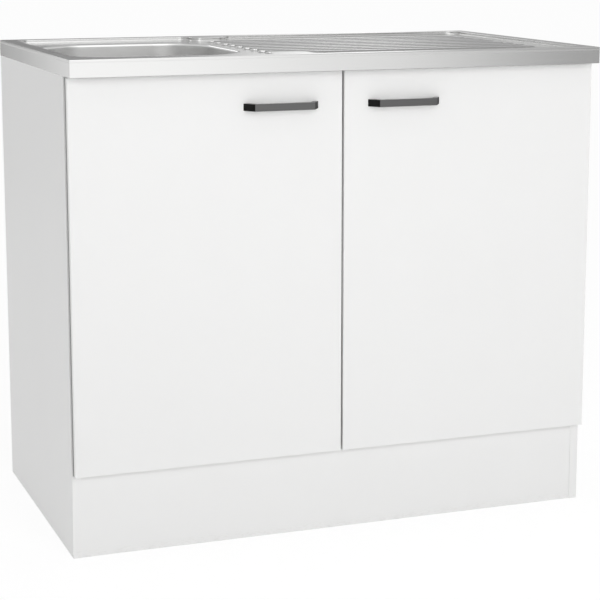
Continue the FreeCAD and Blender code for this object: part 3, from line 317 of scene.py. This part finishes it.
@dataclass(frozen=True)
class Shade:
    """A line of shade coloured on a board: it fades in ahead of a place on one axis.

    With sides_only it stays off the faces that don't look left or right.
    """

    axis: str
    place: float
    start: float
    full: float
    tone: Colour
    share: float
    sides_only: bool = False

    def mask(self, graph: Graph) -> Value:
        """Give how much of the line's tone shows."""
        line = graph.axis(self.axis).between(self.place - self.start, self.place - self.full)
        if self.sides_only:
            line = line * graph.sideways()
        return line * self.share


@dataclass(frozen=True)
class FacedBoard(Finish):
    """Melamine-faced chipboard: a finely dimpled white face, banded edges, and raw edges where nobody looks."""

    face: Colour = (0.89, 0.89, 0.885)
    cloudy: float = 0.97
    dirt: Colour = (0.62, 0.60, 0.57)
    thin: str = "X"
    banded: tuple[Band, ...] = (("Y", -1.0),)
    shades: tuple[Shade, ...] = ()
    dimples: Pattern = Pattern(1100.0, detail=2.0)
    dimple_depth: float = 0.00003
    dimple_rough: float = 0.08
    clouds: Pattern = Pattern(11.0, (1.0, 1.0, 0.5), 2.0)
    scuffs: Pattern = Pattern(160.0, (1.0, 1.0, 3.0), 4.0, (0.45, 0.8))
    scuff_share: float = 0.3
    scuff_rough: float = 0.2
    foot: float = 0.02
    rubs: Pattern = Pattern(45.0, detail=4.0, cut=(0.35, 0.7))
    rub_share: float = 0.22
    chips: float = 520.0
    chip_height: float = 5.0
    raw_rough: float = 0.35
    wood: Stops = ((0.0, (0.30, 0.20, 0.11)), (0.4, (0.50, 0.36, 0.21)), (1.0, (0.70, 0.55, 0.36)))

    def _surface(self, graph: Graph) -> dict[str, Any]:
        """Give the dimpled face, the wear at its foot and edges, its lines of shade and its raw edges."""
        dimples = graph.noise(self.dimples)
        clouds = graph.noise(self.clouds) * MIDDLE + dimples * MIDDLE
        scuffs = graph.noise(self.scuffs) * (1 - graph.axis("Z").between(0.0, self.foot))
        rubs = graph.edges() * graph.noise(self.rubs)
        tone = graph.blend(clouds, self.face, scaled(self.face, self.cloudy))
        tone = graph.blend(scuffs * self.scuff_share + rubs * self.rub_share, tone, self.dirt)
        for shade in self.shades:
            tone = graph.blend(shade.mask(graph), tone, shade.tone)
        raw = self._raw(graph)
        chips = self._chips(graph)
        wood = graph.node("ShaderNodeValToRGB", {"stops": self.wood}, {0: chips})
        rough = self.roughness + raw * self.raw_rough + dimples * self.dimple_rough
        return {
            "Base Color": graph.blend(raw, tone, wood),
            "Roughness": rough + scuffs * self.scuff_rough,
            "Normal": graph.bump(dimples + raw * chips * self.chip_height, self.dimple_depth),
        }

    def _raw(self, graph: Graph) -> Value:
        """Give 1 on the edges that have no band."""
        edge = abs(graph.facing(self.thin)) < UNBANDED
        for name, way in self.banded:
            edge = edge * (graph.facing(name) * way < UNBANDED)
        return edge

    def _chips(self, graph: Graph) -> Value:
        """Give every wood chip its own level from 0 to 1."""
        inputs = {"Vector": graph.place(), "Scale": self.chips}
        cells = graph.node("ShaderNodeTexVoronoi", {"feature": "F1"}, inputs, "Color")
        return graph.node("ShaderNodeSeparateColor", inputs={0: cells})


@dataclass(frozen=True)
class BrushedSteel(Finish):
    """Sheet steel brushed along its length; where the sheet turns down at its ends the grain turns with it."""

    tone: Colour = (0.66, 0.66, 0.655)
    uneven: float = 0.05
    pitch: float = 0.0003
    run: float = 0.12
    line_detail: float = 2.0
    line_share: float = 0.7
    line_depth: float = 0.00000025
    line_rough: float = 0.08
    clouds: Pattern = Pattern(7.0, (1.0, 1.6, 1.6))
    cloud_share: float = 0.3
    cloud_rough: float = 0.05
    marks: Pattern = Pattern(1.0, (14.0, 160.0, 160.0), cut=(0.55, 0.75))
    mark_rough: float = 0.03
    edge_polish: float = 0.04
    # Painted light: the bowl is coloured lighter than the sheet for the brighter light it shows. Its extra
    # roughness is real.
    bowl_tone: Colour = (0.83, 0.83, 0.825)
    bowl_share: float = 0.8
    bowl_rough: float = 0.17
    flank_foot: float = 0.0002
    flank_top: float = 0.0003
    flank_facing: float = 0.95
    flank_rough: float = 0.1

    def _surface(self, graph: Graph) -> dict[str, Any]:
        """Give the grain, faint clouds, wiping marks, smoother edges and a more satin bowl with painted light.
        """
        lines = self._lines(graph)
        clouds = graph.noise(self.clouds)
        marks = graph.noise(self.marks)
        bowl = self._bowl(graph)
        sheet = graph.blend(
            lines * self.line_share + clouds * self.cloud_share, scaled(self.tone, 1.0 - self.uneven), self.tone
        )
        rough = self.roughness + bowl * self.bowl_rough + self._flanks(graph) * self.flank_rough
        rough = rough + lines.swing(self.line_rough) + clouds.swing(self.cloud_rough)
        return {
            # Painted light: the bowl takes the lighter colour.
            "Base Color": graph.blend(bowl * self.bowl_share, sheet, self.bowl_tone),
            "Metallic": 1.0,
            "Roughness": rough + marks * self.mark_rough - graph.edges() * self.edge_polish,
            "Normal": graph.bump(lines, self.line_depth),
        }

    def _lines(self, graph: Graph) -> Value:
        """Give the brushed lines: along the sheet, and down it at its ends."""
        fine = 1.0 / self.pitch
        slow = 1.0 / self.run
        along = graph.noise(Pattern(1.0, (slow, fine, fine), self.line_detail))
        down = graph.noise(Pattern(1.0, (fine, fine, slow), self.line_detail))
        ends = graph.sideways()
        return along * (1 - ends) + down * ends

    def _bowl(self, graph: Graph) -> Value:
        """Give 1 in the bowl."""
        low = graph.axis("Z") < BOWL_MOUTH
        return low * (abs(graph.axis("Y")) < BOWL_REACH) * (abs(graph.axis("X")) < SKIRT)

    def _flanks(self, graph: Graph) -> Value:
        """Give 1 on the sloping flanks of the drainer's ribs."""
        height = graph.axis("Z")
        above = height > FIELD_TOP + self.flank_foot
        below = height < RIB_TOP - self.flank_top
        return above * below * (abs(graph.facing("Z")) < self.flank_facing)


@dataclass(frozen=True)
class BrushedBar(Finish):
    """Dark metal bar stock: brushed on its long faces, its cut ends coloured near-black as painted shade."""

    tone: Colour = (0.155, 0.155, 0.155)
    darkest: float = 0.72
    # Painted shade: the cut ends' near-black colour stands in for the dark reflection they show.
    ends: Colour = (0.005, 0.005, 0.005)
    end_facing: tuple[float, float] = (0.6, 0.8)
    end_rough: float = 0.2
    lines: Pattern = Pattern(1.0, (12.0, 1600.0, 1600.0))
    line_depth: float = 0.000004
    line_rough: float = 0.2
    edge_light: float = 2.0
    edge_share: float = 0.5
    gleam: float = 0.15

    def _surface(self, graph: Graph) -> dict[str, Any]:
        """Give the long faces' grain, their lighter edges and the ends' near-black painted shade."""
        lines = graph.noise(self.lines)
        end = abs(graph.facing("X")).between(*self.end_facing)
        face = graph.blend(lines, scaled(self.tone, self.darkest), self.tone)
        bright = graph.edges() * (1 - end) * self.edge_share
        face = graph.blend(bright, face, scaled(self.tone, self.edge_light))
        return {
            # Painted shade: the ends take the near-black colour.
            "Base Color": graph.blend(end, face, self.ends),
            "Metallic": 1 - end,
            "Specular IOR Level": self.gleam,
            "Roughness": self.roughness + lines.swing(self.line_rough) + end * self.end_rough,
            "Normal": graph.bump(lines, self.line_depth),
        }


@dataclass(frozen=True)
class Plated(Finish):
    """Plated or polished metal with faint clouds and fine dents."""

    tone: Colour = (0.66, 0.66, 0.67)
    darkest: float = 0.86
    clouds: Pattern = Pattern(60.0, detail=4.0)
    cloud_rough: float = 0.18
    dents: Pattern = Pattern(700.0, detail=2.0)
    dent_depth: float = 0.00001

    def _surface(self, graph: Graph) -> dict[str, Any]:
        """Give the plating's tone and unevenness."""
        clouds = graph.noise(self.clouds)
        return {
            "Base Color": graph.blend(clouds, scaled(self.tone, self.darkest), self.tone),
            "Metallic": 1.0,
            "Roughness": self.roughness + clouds.swing(self.cloud_rough),
            "Normal": graph.bump(graph.noise(self.dents), self.dent_depth),
        }


@dataclass(frozen=True)
class Moulded(Finish):
    """Moulded plastic or rubber with a fine spark-eroded texture."""

    tone: Colour = (0.85, 0.85, 0.83)
    darkest: float = 0.93
    flow: Pattern = Pattern(18.0, (1.0, 1.0, 3.0), 2.0)
    texture: Pattern = Pattern(1500.0, detail=2.0)
    texture_depth: float = 0.00003
    texture_rough: float = 0.12

    def _surface(self, graph: Graph) -> dict[str, Any]:
        """Give the tone, its flow marks and the mould's texture."""
        texture = graph.noise(self.texture)
        return {
            "Base Color": graph.blend(graph.noise(self.flow), scaled(self.tone, self.darkest), self.tone),
            "Roughness": self.roughness + texture.swing(self.texture_rough),
            "Normal": graph.bump(texture, self.texture_depth),
        }


@dataclass(frozen=True)
class DampingSheet(Finish):
    """Dark damping sheet with an embossed diamond grid."""

    tone: Colour = (0.055, 0.055, 0.06)
    dusty: float = 2.2
    dust: Pattern = Pattern(120.0, detail=4.0)
    dust_rough: float = 0.15
    pitch: float = 0.006
    emboss: float = 0.0004

    def _surface(self, graph: Graph) -> dict[str, Any]:
        """Give the sheet's grid and dusty tone."""
        scale = math.tau / self.pitch / WAVE_SCALE
        across, along = (
            graph.node("ShaderNodeTexWave", {"bands_direction": way}, {"Vector": graph.place(), "Scale": scale})
            for way in "XY"
        )
        dust = graph.noise(self.dust)
        return {
            "Base Color": graph.blend(dust, self.tone, scaled(self.tone, self.dusty)),
            "Roughness": self.roughness + dust * self.dust_rough,
            "Normal": graph.bump(across.largest(along), self.emboss),
        }


@dataclass(frozen=True)
class Beech(Finish):
    """Raw beech with its short dark flecks."""

    dark: Colour = (0.68, 0.47, 0.28)
    light: Colour = (0.80, 0.61, 0.41)
    grain: Pattern = Pattern(90.0, (1.0, 8.0, 8.0), 5.0)
    grain_depth: float = 0.00005
    grain_rough: float = 0.1
    fleck: Colour = (0.42, 0.24, 0.12)
    flecks: Pattern = Pattern(900.0, (0.3, 1.0, 1.0), 1.0, (0.62, 0.7))
    fleck_share: float = 0.5

    def _surface(self, graph: Graph) -> dict[str, Any]:
        """Give the grain and flecks."""
        grain = graph.noise(self.grain)
        wood = graph.blend(grain, self.dark, self.light)
        return {
            "Base Color": graph.blend(graph.noise(self.flecks) * self.fleck_share, wood, self.fleck),
            "Roughness": self.roughness + grain * self.grain_rough,
            "Normal": graph.bump(grain, self.grain_depth),
        }


@dataclass(frozen=True)
class Frosted(Finish):
    """Soft clear buffer material."""

    dark: Colour = (0.78, 0.80, 0.80)
    light: Colour = (0.88, 0.89, 0.88)
    clouds: Pattern = Pattern(400.0, detail=2.0)
    cloud_rough: float = 0.1
    solid: float = 0.75
    cloud_solid: float = 0.1

    def _surface(self, graph: Graph) -> dict[str, Any]:
        """Give a milky, slightly see-through surface."""
        clouds = graph.noise(self.clouds)
        return {
            "Base Color": graph.blend(clouds, self.dark, self.light),
            "Roughness": self.roughness + clouds * self.cloud_rough,
            "Alpha": self.solid + clouds * self.cloud_solid,
        }


TOP_BAND: tuple[Band, ...] = (("Z", 1.0),)
TOP_AND_ENDS: tuple[Band, ...] = (("X", 1.0), ("X", -1.0)) + TOP_BAND
ALL_ROUND: tuple[Band, ...] = TOP_AND_ENDS + (("Z", -1.0),)
DOOR_GAP = Shade("Y", DOOR_BACK, 0.008, 0.005, (0.08, 0.08, 0.08), 0.9, sides_only=True)
UNDER_DOOR = Shade("Z", PLINTH_TOP, 0.010, 0.006, (0.30, 0.29, 0.28), 0.09)


class Finishes(Enum):
    """Every finish on the unit, with its roughness."""

    UPRIGHT = FacedBoard("upright_board", 0.42)
    SHELF = FacedBoard("shelf_board", 0.42, thin="Z")
    RAIL = FacedBoard("rail_board", 0.42, thin="Y", banded=TOP_BAND)
    PLINTH = FacedBoard("plinth_board", 0.40, thin="Y", banded=TOP_AND_ENDS, shades=(UNDER_DOOR,))
    DOOR = FacedBoard("door_board", 0.38, thin="Y", banded=ALL_ROUND, shades=(DOOR_GAP,))
    SHEET = BrushedSteel("sink_steel", 0.17)
    HANDLE = BrushedBar("handle_metal", 0.36)
    POLISHED = Plated("polished_steel", 0.14, tone=(0.74, 0.74, 0.74), dent_depth=0.000004)
    ZINC = Plated("zinc_plate", 0.32, tone=(0.63, 0.64, 0.66))
    NICKEL = Plated("nickel_plate", 0.26, tone=(0.66, 0.64, 0.60))
    PLASTIC = Moulded("white_plastic", 0.42)
    KNOB = Moulded("black_plastic", 0.36, tone=(0.035, 0.035, 0.037))
    RUBBER = Moulded("black_rubber", 0.72, tone=(0.03, 0.03, 0.03))
    PAD = DampingSheet("damping_sheet", 0.75)
    DOWEL = Beech("raw_beech", 0.62)
    BUFFER = Frosted("clear_buffer", 0.35)


# ---------------------------------------------------------------- meshes


def dress(item: bpy.types.Object, finish: Finishes) -> None:
    """Give an object one finish."""
    item.data.materials.clear()
    item.data.materials.append(finish.value.material())
    log.info("%s: %s", item.name, finish.value.name)


def object_from(name: str, form: bmesh.types.BMesh) -> bpy.types.Object:
    """Turn a bmesh, which is used up, into an object."""
    mesh = bpy.data.meshes.new(name)
    form.to_mesh(mesh)
    form.free()
    item = bpy.data.objects.new(name, mesh)
    bpy.context.scene.collection.objects.link(item)
    return item


def piece(name: str, form: bmesh.types.BMesh, finish: Finishes, body: str) -> bpy.types.Object:
    """Turn a bmesh into a finished piece that rides on a body.

    Args:
        name: The piece's name.
        form: Its shape, which is used up.
        finish: Its finish.
        body: The body it moves with.

    Returns:
        The new object.
    """
    item = object_from(name, form)
    dress(item, finish)
    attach(item, body)
    log.info("%s: %d faces on %s", name, len(item.data.polygons), body)
    return item


def stage_piece(name: str, form: bmesh.types.BMesh) -> tuple[bpy.types.Object, Graph]:
    """Turn a bmesh into a piece of the studio with a material of its own.

    Args:
        name: The piece's name.
        form: Its shape, which is used up.

    Returns:
        The new object and its material's empty graph.
    """
    item = object_from(name, form)
    made = bpy.data.materials.new(name)
    made.use_nodes = True
    made.node_tree.nodes.clear()
    item.data.materials.append(made)
    return item, Graph(made.node_tree)


def soften(form: bmesh.types.BMesh, degrees: float) -> None:
    """Shade a form smooth, apart from its edges sharper than an angle."""
    limit = math.radians(degrees)
    for face in form.faces:
        face.smooth = True
    for edge in form.edges:
        edge.smooth = len(edge.link_faces) == 2 and edge.calc_face_angle(0.0) < limit


def even_shading(item: bpy.types.Object) -> None:
    """Keep flats flat beside rounded edges."""
    weighted = item.modifiers.new("even_shading", "WEIGHTED_NORMAL")
    weighted.keep_sharp = True
    weighted.weight = FLAT_WEIGHT


def smooth_copy(
    frame: dict[str, Any], node: str, finish: Finishes, body: str, degrees: float = ROUND_EDGE
) -> bpy.types.Object:
    """Stand a smoothly shaded copy in for a node.

    Args:
        frame: The loaded frame.
        node: The node's name.
        finish: The copy's finish.
        body: The body it moves with.
        degrees: Edges sharper than this stay sharp.

    Returns:
        The copy.
    """
    form = bmesh.new()
    form.from_mesh(frame["nodes"][node].data)
    bmesh.ops.remove_doubles(form, verts=form.verts, dist=MERGE)
    bmesh.ops.dissolve_degenerate(form, edges=form.edges, dist=MERGE)
    soften(form, degrees)
    item = piece(f"{node}_shown", form, finish, body)
    even_shading(item)
    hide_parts(node)
    return item


# ---------------------------------------------------------------- sub-assemblies


@dataclass
class Carcass:
    """The boards and what holds them together."""

    frame: dict[str, Any]

    def dress(self) -> None:
        """Give the boards and their fittings their finishes."""
        finishes = {
            Finishes.UPRIGHT: ("side_panel_left", "side_panel_right"),
            Finishes.SHELF: ("bottom_panel",),
            Finishes.RAIL: ("front_rail", "rear_top_rail", "rear_bottom_rail"),
            Finishes.PLINTH: ("plinth_board",),
            Finishes.PLASTIC: ("plinth_clips",),
            Finishes.DOWEL: ("dowels",),
            Finishes.ZINC: ("cam_locks", "cam_bolts", "sink_clips", "sink_clip_screws"),
        }
        for finish, names in finishes.items():
            for name in names:
                dress(self.frame["nodes"][name], finish)


@dataclass
class SinkTop:
    """The pressed sink top with its damping pads."""

    frame: dict[str, Any]
    body: str = "cabinet"

    def build(self) -> None:
        """Stand a smooth copy in for the pressing."""
        smooth_copy(self.frame, "sink_top", Finishes.SHEET, self.body, PRESSED_EDGE)

    def dress(self) -> None:
        """Dress the pads below the bowl."""
        dress(self.frame["nodes"]["sound_pads"], Finishes.PAD)


@dataclass
class Waste:
    """The drain, its strainer, the trap and the overflow."""

    frame: dict[str, Any]
    body: str = "cabinet"
    lift: str = "strainer"
    plastic: tuple[str, ...] = (
        "drain_body", "drain_lock_ring", "trap_nut", "tailpiece", "trap_bottle", "trap_cup", "bottle_nut",
        "outlet_pipe", "outlet_nut", "overflow_housing", "overflow_pipe",
    )

    def build(self) -> None:
        """Stand smooth copies in for the round pieces."""
        for name in self.plastic:
            smooth_copy(self.frame, name, Finishes.PLASTIC, self.body)
        for name in ("drain_flange", "overflow_plate", "overflow_screw"):
            smooth_copy(self.frame, name, Finishes.POLISHED, self.body)
        smooth_copy(self.frame, "drain_gasket", Finishes.RUBBER, self.body)
        smooth_copy(self.frame, "strainer_basket", Finishes.POLISHED, self.lift)
        smooth_copy(self.frame, "strainer_plug", Finishes.RUBBER, self.lift)
        smooth_copy(self.frame, "strainer_knob", Finishes.KNOB, self.lift)


@dataclass
class DoorLeaf:
    """One door with its handle and the parts of its hinges."""

    frame: dict[str, Any]
    side: Side

    @property
    def leaf(self) -> str:
        """The body that the door is."""
        return f"door_leaf_{self.side.word}"

    def build(self) -> None:
        """Stand a smooth copy in for the handle."""
        word = self.side.word
        smooth_copy(self.frame, f"handle_{word}", Finishes.HANDLE, self.leaf, BAR_EDGE)
        for name, body in (
            ("hinge_cups", self.leaf), ("cup_pins", self.leaf), ("hinge_links", f"hinge_link_{word}"),
            ("hinge_arms", "cabinet"), ("arm_pins", "cabinet"), ("hinge_plates", "cabinet"),
        ):
            smooth_copy(self.frame, f"{name}_{word}", Finishes.NICKEL, body)

    def dress(self) -> None:
        """Dress the door and its small parts."""
        nodes = self.frame["nodes"]
        word = self.side.word
        dress(nodes[f"door_{word}"], Finishes.DOOR)
        dress(nodes[f"door_buffers_{word}"], Finishes.BUFFER)
        for name in ("handle_screws", "cup_screws", "plate_screws", "arm_screws"):
            dress(nodes[f"{name}_{word}"], Finishes.ZINC)


# ---------------------------------------------------------------- studio


@dataclass
class Glow:
    """A card of light that only shiny surfaces see, with a level that changes along X."""

    name: str
    centre: Triple
    wide: float
    tall: float
    stops: tuple[tuple[float, float], ...]
    lean: float = 90.0
    gain: float = 2.0

    def build(self) -> None:
        """Stand the card up, facing along Y, or lean it back until it lies overhead."""
        form = bmesh.new()
        bmesh.ops.create_grid(form, x_segments=1, y_segments=1, size=0.5)
        bmesh.ops.scale(form, vec=(self.wide, self.tall, 1.0), verts=form.verts)
        bmesh.ops.rotate(form, matrix=Matrix.Rotation(math.radians(self.lean), 3, "X"), verts=form.verts)
        bmesh.ops.translate(form, vec=self.centre, verts=form.verts)
        item, graph = stage_piece(self.name, form)
        item.visible_camera = False
        item.visible_diffuse = False
        item.visible_shadow = False
        low = self.centre[0] - self.wide / 2
        place = (graph.axis("X") - low) * (1 / self.wide)
        levels = [((x - low) / self.wide, (level / self.gain,) * 3) for x, level in self.stops]
        ramp = graph.node("ShaderNodeValToRGB", {"stops": levels, "interpolation": "EASE"}, {0: place})
        graph.finish(graph.node("ShaderNodeEmission", inputs={"Color": ramp, "Strength": self.gain}))


@dataclass
class Studio:
    """A plain pale floor, soft light and the camera."""

    eye: Triple = (-1.1584, -3.1921, 1.088)
    turn: float = 0.3534
    tilt: float = 0.1717
    focal: float = 2.95445
    shift: float = -0.1
    film: float = 36.0
    floor_half: float = 30.0
    floor_tone: Colour = (0.97, 0.97, 0.97)
    floor_glow: float = 1.06
    floor_share: float = 0.79
    key_place: Triple = (0.1, -3.5, 1.5)
    key_aim: Triple = (0.0, 0.0, 0.75)
    key_size: float = 2.0
    key_power: float = 43.0
    room: float = 0.66
    room_back: float = 0.30
    room_up: float = 0.04
    room_shiny: float = 0.74
    cards: tuple[Glow, ...] = (
        Glow(
            "front_card", (1.0, -3.6, 2.0), 6.0, 5.4,
            ((0.5, 1.42), (1.4, 1.14), (2.4, 0.48), (4.0, 0.38)),
        ),
        Glow(
            "back_card", (1.0, 4.0, 0.85), 7.0, 1.7,
            ((-1.55, 1.12), (-1.2, 0.30), (0.3, 0.24), (0.8, 0.32), (1.8, 1.28), (2.4, 0.42), (3.2, 0.35)),
        ),
        Glow("high_card", (-0.45, 4.0, 2.3), 0.7, 0.8, ((-0.8, 2.3), (-0.1, 2.3))),
        Glow(
            "roof_card", (-0.2, -0.6, 3.0), 1.8, 3.4,
            ((-1.0, 0.8), (-0.5, 1.8), (0.1, 1.8), (0.6, 1.3)), lean=0.0,
        ),
    )

    def build(self) -> None:
        """Make the floor, the light and the camera."""
        self._floor()
        self._world()
        self._key()
        for card in self.cards:
            card.build()
        self._camera()
        bpy.context.scene.view_settings.view_transform = "Standard"

    def _floor(self) -> None:
        """Lay the floor: nearly white when looked at, with the object's soft shadow, and matt to the light."""
        form = bmesh.new()
        bmesh.ops.create_grid(form, x_segments=1, y_segments=1, size=self.floor_half)
        _, graph = stage_piece("floor", form)
        matt = graph.node("ShaderNodeBsdfDiffuse", inputs={"Color": (*self.floor_tone, 1.0)})
        glow = graph.node("ShaderNodeEmission", inputs={"Color": WHITE, "Strength": self.floor_glow})
        seen, shine, clear = (
            graph.node("ShaderNodeLightPath", output=f"Is {ray} Ray")
            for ray in ("Camera", "Glossy", "Transmission")
        )
        share = seen.largest(shine).largest(clear) * self.floor_share
        graph.finish(graph.node("ShaderNodeMixShader", inputs={0: share, 1: matt, 2: glow}))

    def _world(self) -> None:
        """Surround the object with light.

        Matt surfaces see it stronger from behind and a little stronger from above, shiny surfaces see one even
        level, and the camera sees white.
        """
        world = bpy.data.worlds.new("soft_room")
        bpy.context.scene.world = world
        world.use_nodes = True
        world.node_tree.nodes.clear()
        graph = Graph(world.node_tree)
        way = graph.node("ShaderNodeTexCoord", output="Generated")
        back, up = (graph.node("ShaderNodeSeparateXYZ", inputs={0: way}, output=name) for name in "YZ")
        shine = graph.node("ShaderNodeLightPath", output="Is Glossy Ray")
        soft = self.room + back * self.room_back + up * self.room_up
        level = soft * (1 - shine) + shine * self.room_shiny
        light = graph.node("ShaderNodeBackground", inputs={"Color": WHITE, "Strength": level})
        plain = graph.node("ShaderNodeBackground", inputs={"Color": WHITE, "Strength": 1.0})
        seen = graph.node("ShaderNodeLightPath", output="Is Camera Ray")
        mixed = graph.node("ShaderNodeMixShader", inputs={0: seen, 1: light, 2: plain})
        graph.finish(mixed, "ShaderNodeOutputWorld")

    def _key(self) -> None:
        """Hang a broad soft lamp in front, which matt surfaces alone see."""
        data = bpy.data.lights.new("key_lamp", "AREA")
        data.shape = "SQUARE"
        data.size = self.key_size
        data.energy = self.key_power
        item = bpy.data.objects.new("key_lamp", data)
        bpy.context.scene.collection.objects.link(item)
        item.location = self.key_place
        aim = Vector(self.key_aim) - item.location
        item.rotation_euler = aim.to_track_quat("-Z", "Y").to_euler()
        item.visible_camera = False
        item.visible_glossy = False

    def _camera(self) -> None:
        """Place the camera at the photograph's viewing angle."""
        data = bpy.data.cameras.new("camera")
        data.sensor_width = self.film
        data.lens = self.film * self.focal
        data.shift_y = self.shift
        item = bpy.data.objects.new("camera", data)
        bpy.context.scene.collection.objects.link(item)
        item.location = self.eye
        item.rotation_euler = (math.pi / 2 - self.tilt, 0.0, -self.turn)
        bpy.context.scene.camera = item


def main() -> None:
    """Load the model, dress it and build the studio."""
    logging.basicConfig(level=logging.INFO, format="%(name)s %(message)s")
    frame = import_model()
    carcass = Carcass(frame)
    carcass.dress()
    top = SinkTop(frame)
    top.build()
    top.dress()
    Waste(frame).build()
    for side in Side:
        leaf = DoorLeaf(frame, side)
        leaf.build()
        leaf.dress()
    Studio().build()


if __name__ == "__main__":
    main()
